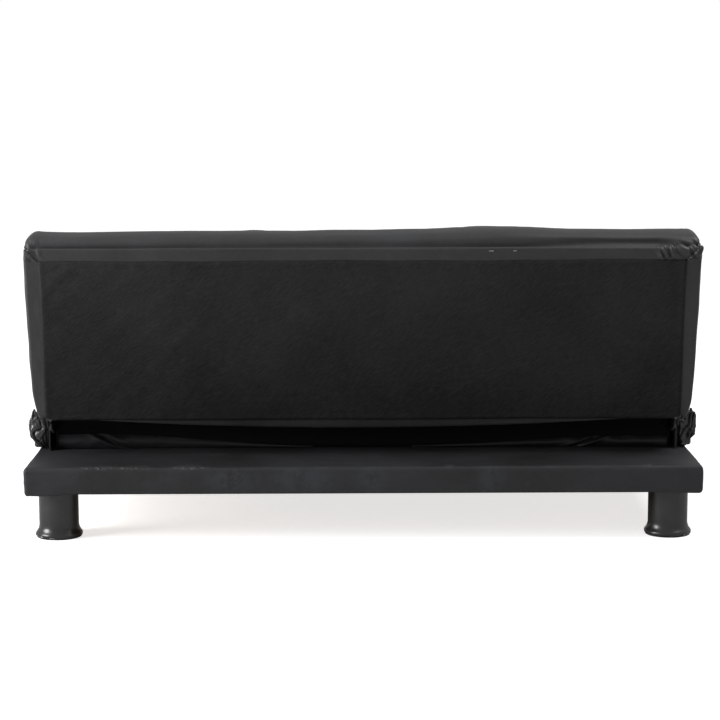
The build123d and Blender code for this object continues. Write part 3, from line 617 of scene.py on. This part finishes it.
# %% Backrest profile
REAR = -0.088
PANEL_HALF, PANEL_TOP = 0.8140, 0.4385
back_controls = np.array([
    (0.0170, REAR + 0.0040), (0.0215, REAR), (0.07, REAR), (0.15, REAR), (0.24, REAR), (0.33, REAR),
    (0.41, REAR), (0.446, REAR), (0.458, REAR), (0.4665, REAR), (0.4700, REAR + 0.0025),
    (0.4700, REAR + 0.0075),
    (0.4675, REAR + 0.0120), (0.4635, -0.0735), (0.4670, -0.0690), (0.4740, -0.0685), (0.4830, -0.0650),
    (0.4905, -0.053), (0.4950, -0.034), (0.4965, -0.012), (0.4955, 0.008), (0.4900, 0.024), (0.477, 0.0345),
    (0.450, 0.0405), (0.40, 0.0460), (0.32, 0.0505), (0.25, 0.0520), (0.17, 0.0495),
    (0.11, 0.0415), (0.07, 0.031), (0.045, 0.016), (0.031, -0.004), (0.0260, -0.023), (0.0235, -0.042),
    (0.0200, -0.062), (0.0165, -0.077), (0.0150, REAR + 0.0025), (0.0155, REAR + 0.0015),
])
along, height = back_controls.T
SEAMS = np.array([-1 / 3, 1 / 3])
near_end = np.linspace(0.88, 1, 29)
across = np.concatenate([-near_end[::-1], np.linspace(-0.88, 0.88, 109)[1:-1], near_end])
sofa_x = across * 0.84
pinch = hump(across[:, None], SEAMS, 0.012).sum(1)
front = ramp(height, 0.02, 0.045)
crest = ramp(along, 0.466, 0.490)
slack = np.zeros(len(back_controls))
slack[-4:] = 0.45, 0.95, 1.0, 0.8
sag = np.clip(1 - (sofa_x / 0.70) ** 2, 0, 1)
rise = 0.008 * hump(sofa_x, -0.36, 0.26) + 0.0008 * np.sin(sofa_x * 14 + 0.6)
back_profile = np.repeat(back_controls[:, None], len(across), 1)
back_profile[:, :, 1] += front[:, None] * (0.003 * hump(across, 0, 0.25) - 0.008 * pinch)
back_profile[:, :, 0] += crest[:, None] * rise - slack[:, None] * 0.028 * sag
back_profile[:, :, 1] += (slack ** 2)[:, None] * 0.008 * sag
heel = np.zeros(len(back_controls))
heel[-6:-3] = 0.0070, 0.0105, 0.0035
back_profile[:, :, 0] -= heel[:, None] * ramp(np.abs(across), 0.985, 0.955)
tucked = hump(along, 0.476, 0.008) * hump(height, -0.068, 0.010)
wedge = ramp(-sofa_x, 0.36, 0.60) * ramp(-sofa_x, 0.81, 0.74)
back_profile[:, :, 1] += tucked[:, None] * (0.014 * wedge + 0.002 * np.sin(sofa_x * 5 + 1))
back_radius = np.interp(height, [REAR, -0.05, 0.0, 0.05], [0.006, 0.020, 0.032, 0.036])
back_half = 0.846 + 0.003 * ramp(along, 0.05, 0.42) - 0.016 * ramp(along, 0.048, 0.012)
back_dense = 1 + 4 * ramp(along, 0.42, 0.45) * ramp(height, -0.04, -0.06)
back_dense += 2.5 * ramp(along, 0.05, 0.02) * ramp(height, -0.04, -0.07)
back_flat = carried(back_profile, across, back_radius, back_half, 0.006, 124, back_dense)
print("backrest rows and columns", back_flat.shape[:2])


# %% Backrest cushion, filled and creased
def back_creases(flat):
    """How far the leather stands off, in metres: slow waviness, mitred corners, pleats in the right one."""
    x, along, height = np.moveaxis(flat, -1, 0)
    edge = ramp(along, 0.431, 0.451) * ramp(height, -0.03, -0.05)
    roll = ramp(along, 0.470, 0.478) * ramp(height, -0.072, -0.06)
    side = ramp(np.abs(x), 0.815, 0.83)
    slow = waves(flat * [1, 2.2, 2.2], 0.16, 3) * 0.0007 * np.maximum(edge, side)
    slow += waves(flat * [1, 2, 2], 0.24, 5) * 0.0010 * roll
    corner = ramp(along, 0.434, 0.444) * ramp(height, -0.045, -0.065)
    right = ramp(-x, 0.733, 0.752) * ramp(along, 0.436, 0.446) * ramp(height, -0.062, -0.074)
    slant = (along - 0.455) * 0.7 - (x + 0.8)
    folds = np.abs(np.sin(slant * 128 + 0.7 * waves(flat, 0.07, 11))) ** 1.3
    folds += 0.12 * np.clip(crumple(flat, 0.03, 12), -1, 1)
    mitre = np.abs(x) - PANEL_HALF - (along - PANEL_TOP)
    pleat = hump(mitre, 0.004, 0.0035) - 1.3 * hump(mitre, -0.002, 0.0025)
    pleat += np.where(x > 0, 0.6 * np.clip(crumple(flat, 0.02, 14), -1, 1), 0)
    pleat *= ramp(np.abs(x), 0.802, 0.814) * corner
    return np.maximum(slow + right * folds * 0.0060 + pleat * 0.0024, -0.0016)


def leathered(name, flat, place, body, material):
    """Cushion mesh from a carried tube, closed at its ends, and its flat points."""
    points, faces = capped(flat)
    return piece_from(name, place(points), faces, body, material), points


def outward(piece):
    """Turns every face of a closed piece to the outside."""
    work = bmesh.new()
    work.from_mesh(piece.data)
    bmesh.ops.recalc_face_normals(work, faces=work.faces)
    work.to_mesh(piece.data)
    work.free()


def push_out(piece, amount):
    """Moves each vertex along its normal by its own amount."""
    mesh = piece.data
    co, normal = np.empty(len(mesh.vertices) * 3), np.empty(len(mesh.vertices) * 3)
    mesh.vertices.foreach_get("co", co)
    mesh.vertex_normals.foreach_get("vector", normal)
    mesh.vertices.foreach_set("co", co + normal * np.repeat(amount, 3))
    mesh.update()


def refine(piece, levels=1):
    """Subdivides a piece, with the same levels seen and rendered, and keeps the result."""
    smooth = piece.modifiers.new("smooth", "SUBSURF")
    smooth.levels = smooth.render_levels = levels
    bake(piece)


def flat_of(piece, turn):
    """The piece's vertices in flat measurements from the pivot line."""
    co = np.empty(len(piece.data.vertices) * 3)
    piece.data.vertices.foreach_get("co", co)
    x, y, z = co.reshape(-1, 3).T
    y, z = y - PIVOT_Y, z - PIVOT_Z
    cos, sin = math.cos(turn), math.sin(turn)
    return np.stack([x, y * cos + z * sin, z * cos - y * sin], -1)


back_cushion, back_points = leathered("back_cushion", back_flat, back_place, "backrest", back_leather)
outward(back_cushion)
bx, ba, bh = back_points.T
near_seam = np.min(np.abs(bx[:, None] / 0.82 - SEAMS), 1)
held = np.maximum.reduce([
    ramp(bh, 0.015, -0.005), ramp(near_seam, 0.016, 0.006) * ramp(bh, 0.0, 0.02),
    ramp(ba, 0.07, 0.04), ramp(np.abs(bx), 0.83, 0.85) * 0.8,
])
print("backrest cover moved up to", round(fill(back_cushion, held, 5.0, 0.018), 4))
refine(back_cushion)
push_out(back_cushion, back_creases(flat_of(back_cushion, TURN)))
cut_pockets(
    back_cushion, back_place, (HINGE_SLOT, (-0.10, 0.062), (-0.070, 0.022)),
    (BRACKET_SLIT, (-0.10, 0.0225), (-0.12, -0.060)),
)
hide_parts("back_cover", "back_foam")
print("backrest cushion", len(back_cushion.data.polygons), "faces")

# %% [markdown]
# ## Rear panel
#
# A sheet of non-woven cloth closes the backrest's rear. Its edge is folded under and stapled, so a slightly
# thicker hem runs round it, and the sheet between is not quite flat: pulls run in from the staples.


# %% Rear panel
def panel_surface():
    """Grid over the panel: a sheet 1.4 mm off the leather, thicker at its hem, with pulls at the edge."""
    s = np.linspace(-1, 1, 281)
    t = np.linspace(0, 1, 97)
    t = t + 0.10 * np.sin(2 * np.pi * t) / (2 * np.pi)
    across, up = np.meshgrid(s, t)
    low_edge = 0.0160 + 0.0006 * np.sin(across * 9) + 0.0070 * ramp(np.abs(across), 0.976, 0.986)
    high_edge = PANEL_TOP + 0.0010 * np.sin(across * 7 + 1) + 0.0006 * np.sin(across * 23)
    along = low_edge + (high_edge - low_edge) * up
    half = PANEL_HALF + 0.0012 * np.sin(up * 5 + 1)
    x = across * half
    rim = np.minimum.reduce([along - low_edge, high_edge - along, half - np.abs(x)])
    hem = ramp(rim, 0.014, 0.009) * 0.0009
    tucked = ramp(rim, 0.0025, 0.0) * 0.0016
    place = np.stack([x, along, np.zeros_like(x)], -1)
    pulls = np.sin(x * 2 * np.pi / 0.043 + 2 * waves(place, 0.2, 21)) * ramp(rim, 0.045, 0.012) * 0.0003
    slow = waves(place * [1, 1.6, 1], 0.21, 22) * 0.0006 * ramp(rim, 0.0, 0.05)
    creased = waves(np.stack([x * 0.8 + along * 0.9, along * 0.25], -1), 0.055, 23)
    bunched = hump(x, 0.775, 0.07) * hump(along, 0.425, 0.03)
    slack = creased * ramp(rim, 0.0, 0.03) * (0.00045 * ramp(x, -0.5, 0.7) + 0.0006 * bunched)
    off = 0.0014 + hem - tucked + np.maximum(pulls + slow + slack, -0.0009)
    return np.stack([x, along, REAR - off], -1)


panel_flat = panel_surface()
rear_panel = piece_from(
    "rear_panel", back_place(panel_flat), grid_faces(*panel_flat.shape[:2]), "backrest", panel_cloth
)
thicken(rear_panel, 0.0008)
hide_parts("back_panel")
print("rear panel", panel_flat.shape[:2])

# %% [markdown]
# ## Stray staples
#
# Two staples of the border weren't driven home and catch the light just under the roll, right of the middle.

# %% Staples
staple_points, staple_faces = [], []
for x, wide in ((-0.322, 0.0052), (-0.381, 0.0040)):
    for middle, half in ((x, (wide, 0.0009)), (x - wide, (0.0006, 0.0009)), (x + wide, (0.0006, 0.0009))):
        staple_faces += (BOX_FACES + len(staple_points)).tolist()
        deep = (0.0026, 0.0014) if half[0] > 0.001 else (0.0026, -0.0060)
        staple_points += [
            (middle + i * half[0], 0.4630 + j * half[1], REAR - k)
            for i in (-1, 1) for j in (-1, 1) for k in deep
        ]
border_staples = piece_from(
    "border_staples", back_place(np.array(staple_points)), staple_faces, "backrest", zinc
)
border_staples.data.polygons.foreach_set("use_smooth", np.zeros(len(staple_faces), bool))
outward(border_staples)
print("two staples placed")

# %% [markdown]
# ## Seat cushion
#
# The seat is the same kind of form with a rounded nose in front and a big easy radius at the crease, where
# the backrest swings past. Its rear wall is hollow in the middle, because nothing is filled there.

# %% Seat profile
def hollow_wall(x):
    """Where the seat's rear wall stands, along the seat: drawn in between the two firm corners."""
    return -0.0085 - 0.011 * np.clip(1 - (x / 0.80) ** 6, 0, 1)


SOLE = -0.0912
seat_controls = np.array([
    (-0.0085, SOLE + 0.001), (-0.0085, -0.070), (-0.0085, -0.047), (-0.0095, -0.026), (-0.0155, -0.004),
    (-0.031, 0.014), (-0.060, 0.028), (-0.105, 0.041), (-0.17, 0.049), (-0.26, 0.053), (-0.34, 0.0525),
    (-0.41, 0.0495), (-0.457, 0.0450), (-0.489, 0.0325), (-0.5030, 0.009), (-0.5060, -0.020),
    (-0.5055, -0.052),
    (-0.5045, -0.074), (-0.5040, -0.085), (-0.5030, -0.0905), (-0.500, SOLE), (-0.490, SOLE), (-0.43, SOLE),
    (-0.34, SOLE), (-0.25, SOLE),
    (-0.16, SOLE), (-0.07, SOLE), (-0.022, SOLE),
])
along, height = seat_controls.T
sofa_x = across * 0.86
top = ramp(height, 0.01, 0.04)
wall = ramp(along, -0.03, -0.012) * ramp(height, 0.01, -0.015)
seat_profile = np.repeat(seat_controls[:, None], len(across), 1)
seat_profile[:, :, 1] += top[:, None] * (0.003 * hump(across, 0, 0.25) - 0.008 * pinch)
seat_profile[:, :, 0] += wall[:, None] * (hollow_wall(sofa_x) + 0.0085)
seat_radius = np.interp(height, [SOLE, -0.06, 0.0, 0.05], [0.007, 0.020, 0.032, 0.036])
even = np.ones(len(seat_controls))
seat_flat = carried(seat_profile, across, seat_radius, 0.861 * even, 0.007, 112, even)
print("seat rows and columns", seat_flat.shape[:2])

# %% Seat cushion, filled
seat_cushion, seat_points = leathered("seat_cushion", seat_flat, seat_place, "seat", seat_leather)
outward(seat_cushion)
sx, sa, sh = seat_points.T
near_seam = np.min(np.abs(sx[:, None] / 0.83 - SEAMS), 1)
held = np.maximum.reduce([
    ramp(sh, -0.055, -0.075), ramp(near_seam, 0.016, 0.006) * ramp(sh, -0.02, 0.01),
    ramp(sa, -0.09, -0.05), ramp(np.abs(sx), 0.835, 0.858) * 0.8,
])
print("seat cover moved up to", round(fill(seat_cushion, held, 5.0, 0.018), 4))
refine(seat_cushion)
flat = flat_of(seat_cushion, 0.0)
loose = ramp(flat[:, 2], -0.08, -0.05) * ramp(flat[:, 1], -0.02, -0.06)
push_out(seat_cushion, waves(flat * [1, 1.5, 1.5], 0.13, 31) * 0.0008 * loose)
cut_pockets(seat_cushion, seat_place, (HINGE_SLOT, (-0.062, 0.10), (-0.20, 0.022)))
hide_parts("seat_cover", "seat_foam")
print("seat cushion", len(seat_cushion.data.polygons), "faces")

# %% [markdown]
# ## Lining, drapes and gathers at the seat's rear
#
# Under the backrest the seat's rear wall is closed by lining cloth, stapled low down and coloured nearly
# black as painted shade. It leaves the wall at the crease and curls round the pivot line, so that no light
# comes through between the cushions and neither cushion can catch it as it turns. Over it, near each end,
# hangs a slack lens of leather. Outside the hinges the cover is bunched into crumpled gathers, the shiniest
# spot of the whole rear view. Drapes and gathers are cut from the seat's leather but coloured darker, as
# painted shade.


# %% Lining
def lining_surface():
    """Strip along the sofa: up the hollow wall, then round the pivot line at a radius under 26 mm."""
    x = np.linspace(-0.7985, 0.7985, 241)
    low = np.array([-0.0895, -0.075, -0.060, -0.045, -0.032])
    turn = np.radians([92, 72, 52, 32, 12])
    round_pivot = 0.0258 * np.stack([np.cos(turn), np.sin(turn)], -1)
    curl = np.concatenate([[(-0.0066, -0.014), (-0.0060, 0.003), (-0.0042, 0.0150)], round_pivot])
    wall = np.broadcast_to(hollow_wall(x) + 0.0014, (len(low), len(x)))
    along = np.concatenate([wall, np.broadcast_to(curl[:, :1], (len(curl), len(x)))])
    height = np.append(low, curl[:, 1])[:, None]
    ripple = waves(np.stack(np.broadcast_arrays(x * 1.0, height * 1.5), -1), 0.09, 37) * 0.0004
    return np.stack(np.broadcast_arrays(x, along + ripple, height), -1)


lining_flat = lining_surface()
faces = grid_faces(*lining_flat.shape[:2])[:, ::-1]
crease_lining = piece_from("crease_lining", seat_place(lining_flat), faces, "seat", shaded_lining_cloth)
thicken(crease_lining, 0.0006)
print("crease lining", lining_flat.shape[:2])


# %% Drapes
DRAPE_START = 0.13


def drape_surface(side):
    """Lens of slack leather: a low grid off the wall that grows to the end, with one slanting fold."""
    fold_x, high = (0.659, 0.036) if side > 0 else (0.584, 0.026)
    s, t = np.meshgrid(np.linspace(0, 1, 190), np.linspace(0, 1, 32))
    x = DRAPE_START + (0.796 - DRAPE_START) * s
    full = ramp(x, DRAPE_START, 0.70)
    z = 0.1908 + (0.003 + high * full) * t
    belly = 0.0010 + 0.009 * full * np.sin(np.pi * np.clip(t * 0.9 + 0.08, 0, 1))
    slant = x - fold_x - 0.065 * (t - 0.5)
    fold = hump(slant, 0.022, 0.013) * 0.0035 + hump(slant, -0.024, 0.016) * 0.0030
    fold -= hump(slant, 0.0, 0.010) * 0.007
    fine = waves(np.stack([x, z * 2.4], -1), 0.06, 41 + side) * 0.0006
    along = hollow_wall(x) + 0.0030 + np.maximum(belly + (fold + fine) * full, 0.0004)
    return np.stack([side * x, PIVOT_Y + along, z], -1)


for side, word in ((-1, "left"), (1, "right")):
    surface = drape_surface(side)
    faces = grid_faces(*surface.shape[:2])
    drape = piece_from(
        f"seat_drape_{word}", surface, faces if side < 0 else faces[:, ::-1], "seat", shaded_drape_leather
    )
    thicken(drape, 0.0009)
print("two drapes made")


# %% Gathers
def gather_surface(side):
    """Bunched corner: a closed sleeve about an upright axis, pleated and then crumpled outward."""
    turn, t = np.meshgrid(np.linspace(0, 2 * np.pi, 240, endpoint=False), np.linspace(0, 1, 170))
    outer = np.interp(t, [0, 0.10, 0.28, 0.5, 0.75, 1], [0.837, 0.852, 0.867, 0.873, 0.870, 0.860])
    inner = np.interp(t, [0, 0.62, 0.82, 1], [0.8275, 0.8275, 0.8480, 0.8560])
    deep = 0.0095 * np.sin(np.pi * np.clip(t * 0.94 + 0.03, 0, 1)) ** 0.4
    out = np.stack([np.cos(turn), np.sin(turn)], -1)
    ring = np.sign(out) * np.abs(out) ** 0.7
    x = (outer + inner) / 2 + (outer - inner) / 2 * ring[..., 0]
    y = 0.1235 - 0.008 * t ** 3 + deep * ring[..., 1]
    z = 0.1915 + 0.104 * t
    place = np.stack([x, y, z], -1)
    pleat = turn * 6 / (2 * np.pi) + 0.5 * waves(place, 0.06, 51 + side) + 0.9 * t
    pleat = 2 * np.abs(np.sin(np.pi * pleat)) - 1.3
    shift = 0.0022 * pleat + 0.0024 * np.clip(crumple(place * [1, 1, 0.8], 0.034, 61 + side), -1.3, 1.3)
    shift += 0.0006 * crumple(place, 0.014, 71 + side)
    x = np.clip(x + shift * out[..., 0], 0.8258, 0.8758)
    y = np.minimum(y + shift * out[..., 1], 0.1362)
    z = z + 0.003 * waves(place, 0.035, 91 + side)
    return np.stack([side * x, y, np.maximum(z, 0.1908)], -1)


for side, word in ((-1, "left"), (1, "right")):
    points, faces = capped(gather_surface(side))
    gather = piece_from(f"seat_gather_soft_{word}", points, faces, "seat", shaded_gather_leather, outward=True)
    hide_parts(f"seat_gather_{word}")
print("two gathers made")

# %% [markdown]
# ## Dust cover
#
# Under the seat a thin non-woven sheet is stapled to the frame. It only shows when the seat is lifted.

# %% Dust cover
low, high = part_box("seat_dust_cover")
s, t = np.meshgrid(np.linspace(0, 1, 161), np.linspace(0, 1, 61))
x = low.x + (high.x - low.x) * s
y = low.y + (high.y - low.y) * t
rim = np.minimum.reduce([x - low.x, high.x - x, y - low.y, high.y - y])
sagging = waves(np.stack([x, y], -1), 0.12, 91) * 0.0005 * ramp(rim, 0.0, 0.03)
z = np.maximum((low.z + high.z) / 2 + sagging, low.z + 0.0001)
dust_cover = piece_from(
    "dust_cover", np.stack([x, y, z], -1), grid_faces(*x.shape)[:, ::-1], "seat", dust_cloth
)
thicken(dust_cover, 0.0005)
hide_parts("seat_dust_cover")
print("dust cover", x.shape)

# %% [markdown]
# ## Base skin
#
# The base is a box of boards wrapped in one piece of leatherette over thin wadding. A vertical profile, from
# the middle of the top, over the edge, down the side and under the lip, is carried round the plan outline.
# The lip isn't pulled tight at the rear corners, where it sags below the board between corner and leg.


# %% Base skin
def base_surface():
    """Plan outline (columns) by profile (rows): each row is a rounded rectangle drawn in by some inset."""
    low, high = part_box("base_cover")
    middle = np.array([(low.x + high.x) / 2, (low.y + high.y) / 2])
    wide, deep = (high.x - low.x) / 2, (high.y - low.y) / 2
    edge, base_z, top_z = 0.009, low.z + 0.0006, high.z - 0.0006
    angle = np.linspace(0, np.pi / 2, 7)
    inset = [deep - 1e-4, 0.27, 0.2, 0.14, 0.09, 0.055, 0.035, 0.022, 0.014]
    rise = [top_z] * len(inset)
    inset += list(edge - edge * np.sin(angle))
    rise += list(top_z - edge + edge * np.cos(angle))
    sides = np.linspace(top_z - edge, base_z + 0.006, 14)[1:]
    inset += [0.0] * len(sides)
    rise += list(sides)
    inset += [0.0015, 0.0045, 0.010, 0.020, 0.031]
    rise += [base_z + 0.002, base_z, base_z - 0.0002, base_z, base_z + 0.0006]
    inset, rise = np.array(inset)[:, None], np.array(rise)[:, None]
    run = np.linspace(0, 4, 641)[:-1]
    quarter, f = np.floor(run).astype(int) % 4, run % 1
    corner = 0.009
    half_x = np.maximum(wide - inset, 1e-4)
    half_y = np.maximum(deep - inset, 1e-4)
    bend = np.minimum(np.maximum(corner - inset, 0.004), np.minimum(half_x, half_y))
    share = np.clip((f - 0.06) / 0.88, 0, 1)
    theta = (np.clip(f / 0.06, 0, 1) + np.clip((f - 0.94) / 0.06, 0, 1)) * np.pi / 4 - np.pi / 4
    line = 2 * share - 1
    local_x = np.where(quarter % 2 == 0, half_x, half_y) - bend
    local_y = np.where(quarter % 2 == 0, half_y, half_x) - bend
    out = local_x + bend * np.cos(theta)
    slide = line * local_y + bend * np.sin(theta)
    cos = np.array([1, 0, -1, 0])[quarter]
    sin = np.array([0, 1, 0, -1])[quarter]
    x = middle[0] + out * cos - slide * sin
    y = middle[1] + out * sin + slide * cos
    return np.stack([x, y, np.broadcast_to(rise, x.shape)], -1), (inset, rise, low, high)


skin, (inset, rise, low, high) = base_surface()
x, y, z = np.moveaxis(skin, -1, 0)
side_face = (inset <= 0.0) * np.sin(np.pi * np.clip((z - low.z) / (high.z - low.z), 0, 1))
wadding = 0.0016 * side_face + waves(skin * [1, 1, 2.5], 0.19, 101) * 0.0009 * (inset < 0.05)
wadding += waves(skin * [1.2, 1.2, 3], 0.07, 102) * 0.0004 * (inset < 0.05)
middle_y = (low.y + high.y) / 2
half_y = (high.y - low.y) / 2
away_x = np.sign(x) * ramp(np.abs(x), 0.835, 0.85)
away_y = np.sign(y - middle_y) * ramp(np.abs(y - middle_y), half_y - 0.015, half_y)
away = np.stack([away_x, away_y, np.zeros_like(x)], -1)
skin = skin + away * (wadding * (inset < 0.004))[..., None]
hang = ramp(z, low.z + 0.03, low.z) * (inset < 0.02)
sag_left = ramp(x, 0.735, 0.79) * ramp(y, 0.30, 0.36)
sag_right = ramp(-x, 0.745, 0.80) * ramp(y, 0.30, 0.36)
ripple = 0.75 + 0.25 * np.sin(x * 130) * np.sin(y * 90 + 1)
skin[..., 2] -= hang * (0.0055 * sag_left * ripple + 0.0035 * sag_right * ripple)
skin[..., 2] += (inset > 0.03) * waves(skin[..., :2], 0.24, 103) * 0.0005 * (inset < 0.3)
base_skin = piece_from(
    "base_skin", skin, grid_faces(*skin.shape[:2], wrap=True), "base", base_leather, outward=True
)
thicken(base_skin, 0.0012, -1.0)
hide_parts("base_cover")
print("base skin", skin.shape[:2])

# %% [markdown]
# ## Legs
#
# The legs are turned shapes, so one outline, radius against height, is carried round its axis. The rim is
# knocked about, which the outline gets as small dents that depend on the angle.


# %% Legs
LEG_OUTLINE = np.array([
    (0.012, 0.1199), (0.030, 0.1199), (0.0485, 0.1199), (0.0499, 0.1190), (0.05, 0.116), (0.05, 0.095),
    (0.05, 0.07), (0.05, 0.05), (0.05, 0.036), (0.0501, 0.031), (0.0509, 0.026), (0.0525, 0.021),
    (0.0549, 0.0165), (0.0576, 0.0132), (0.0591, 0.0108), (0.0595, 0.0085), (0.0594, 0.0060),
    (0.0588, 0.0040), (0.0572, 0.0027), (0.0540, 0.0021), (0.046, 0.0021), (0.045, 0.006), (0.045, 0.060),
])


def leg_surface(x, y, seed):
    """The outline of radius and height spun about the leg's axis, with dents round the foot's rim."""
    radius, height = LEG_OUTLINE.T[:, :, None]
    turn = np.linspace(0, 2 * np.pi, 128, endpoint=False)[None]
    ring = np.stack(np.broadcast_arrays(np.cos(turn), np.sin(turn), height * 20), -1)
    dent = waves(ring, 0.5, seed) * 0.0008 * hump(height, 0.004, 0.006) * (radius > 0.05)
    r = radius + np.minimum(dent, 0.0004)
    return np.stack([x + r * np.cos(turn), y + r * np.sin(turn), np.broadcast_to(height, r.shape)], -1)


for index, name in enumerate(("front_left", "front_right", "rear_left", "rear_right")):
    low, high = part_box(f"leg_{name}")
    surface = leg_surface((low.x + high.x) / 2, (low.y + high.y) / 2, 111 + index)
    faces = grid_faces(*surface.shape[:2], wrap=True)
    leg = piece_from(f"moulded_leg_{name}", surface, faces, "base", leg_plastic, outward=True)
    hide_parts(f"leg_{name}")
print("four legs made")

# %% [markdown]
# ## What the CAD brings
#
# The rigid nodes already have their true shapes, so they only get finishes. Boards are told apart by the
# direction their grain runs.

# %% Finishes on the CAD nodes
FINISHES = (
    (("base_deck",), plywood),
    (("_front_rail", "_rear_rail", "_top_rail", "_bottom_rail"), pine_x),
    # The seat side rails carry painted shade at their ends beside the hinges
    (("seat_side_rail",), pine_shaded_ends),
    (("base_cross_rails", "seat_bearers", "base_side_rail"), pine_y),
    (("back_stiles", "base_corner_blocks", "back_side_rail"), pine_z),
    (("leg_glide",), felt),
    (("webbing",), webbing),
    (("hinge_washers",), nylon),
    (("hinge_bracket_left", "hinge_bracket_right", "hinge_seat_arm", "hinge_back_arm"), hinge_enamel),
)
for name, node in nodes.items():
    if node.hide_render:
        continue
    chosen = [finish for words, finish in FINISHES if any(word in name for word in words)]
    node.data.materials.clear()
    node.data.materials.append((chosen or [zinc])[0])
print("finished", sum(not node.hide_render for node in nodes.values()), "CAD nodes")

# %% [markdown]
# ## Studio
#
# The strongest soft box stands low at the camera's left, so it rakes over the rear faces and they grow
# darker to the right. Two weaker boxes hang high on both sides and light the tops and the roll. The surround
# is white for the camera, dimmer in what the leather mirrors and nearly dark otherwise, so that black stays
# black. The floor also glows for the camera alone, more with distance, and keeps a faint shadow.

# %% Floor and light
floor_white, tree, surface, place = new_finish("White studio floor")
away = add(tree, "VectorMath", {0: place}, operation="LENGTH")
glow = add(tree, "MapRange", {"Value": away.outputs["Value"], "From Min": 1.0, "From Max": 3.5,
                              "To Min": 0.72, "To Max": 1.0})
seen = add(tree, "LightPath").outputs["Is Camera Ray"]
glow = add(tree, "Math", {0: glow.outputs["Result"], 1: seen}, operation="MULTIPLY")
feed(tree, surface, {
    "Base Color": linear("#f2f2f2"), "Roughness": 0.9, "Specular IOR Level": 0.0,
    "Emission Color": (1, 1, 1, 1), "Emission Strength": glow.outputs[0],
})
reach = np.array([(-14.0, -14.0, 0), (14.0, -14.0, 0), (14.0, 14.0, 0), (-14.0, 14.0, 0)])
floor_mesh = bpy.data.meshes.new("studio_floor")
floor_mesh.from_pydata(reach.tolist(), [], [(0, 1, 2, 3)])
floor_mesh.materials.append(floor_white)
studio_floor = bpy.data.objects.new("studio_floor", floor_mesh)
bpy.context.scene.collection.objects.link(studio_floor)

world = bpy.data.worlds.new("White surround")
bpy.context.scene.world = world
world.use_nodes = True
tree = world.node_tree
path = add(tree, "LightPath")
camera_ray, through_ray = path.outputs["Is Camera Ray"], path.outputs["Is Transmission Ray"]
seen = add(tree, "Math", {0: camera_ray, 1: through_ray}, operation="MAXIMUM")
mirrored = add(tree, "MapRange", {"Value": path.outputs["Is Glossy Ray"], "To Min": 0.06, "To Max": 0.60})
level = add(tree, "Math", {0: seen.outputs[0], 1: mirrored.outputs["Result"]}, operation="MAXIMUM")
feed(tree, tree.nodes["Background"], {"Color": (1, 1, 1, 1), "Strength": level.outputs[0]})


def soft_box(name, place, aim, size, power):
    """Square area lamp at a place, turned to face a point."""
    lamp = bpy.data.lights.new(name, "AREA")
    lamp.energy, lamp.size = power, size
    box = bpy.data.objects.new(name, lamp)
    box.location = place
    way = np.array(aim) - np.array(place)
    flat = math.hypot(way[0], way[1])
    box.rotation_euler = (math.atan2(flat, -way[2]), 0, math.atan2(way[1], way[0]) - math.pi / 2)
    box.visible_camera = False
    bpy.context.scene.collection.objects.link(box)


AIM = (0, 0.2, 0.35)
soft_box("side_soft_box", (4.0, 1.5, 1.5), AIM, 1.6, 165)
soft_box("high_left_soft_box", (2.5, 0.5, 3.5), AIM, 2.0, 25)
soft_box("high_right_soft_box", (-2.5, 0.5, 3.5), AIM, 2.0, 79)
print("studio lit")

# %% [markdown]
# ## Camera
#
# The picture was taken straight from behind, from about 5.2 m and a little above, with a long lens.

# %% Camera
lens = bpy.data.cameras.new("rear_view")
lens.lens, lens.sensor_width = 105.9, 36.0
camera = bpy.data.objects.new("rear_view", lens)
camera.location = (0.03, 5.58, 1.214)
camera.rotation_euler = (math.radians(90 - 8.26), math.radians(0.19), math.radians(180 - 0.27))
bpy.context.scene.collection.objects.link(camera)
bpy.context.scene.camera = camera
bpy.context.scene.view_settings.view_transform = "Standard"
print("camera at", tuple(round(value, 3) for value in camera.location))
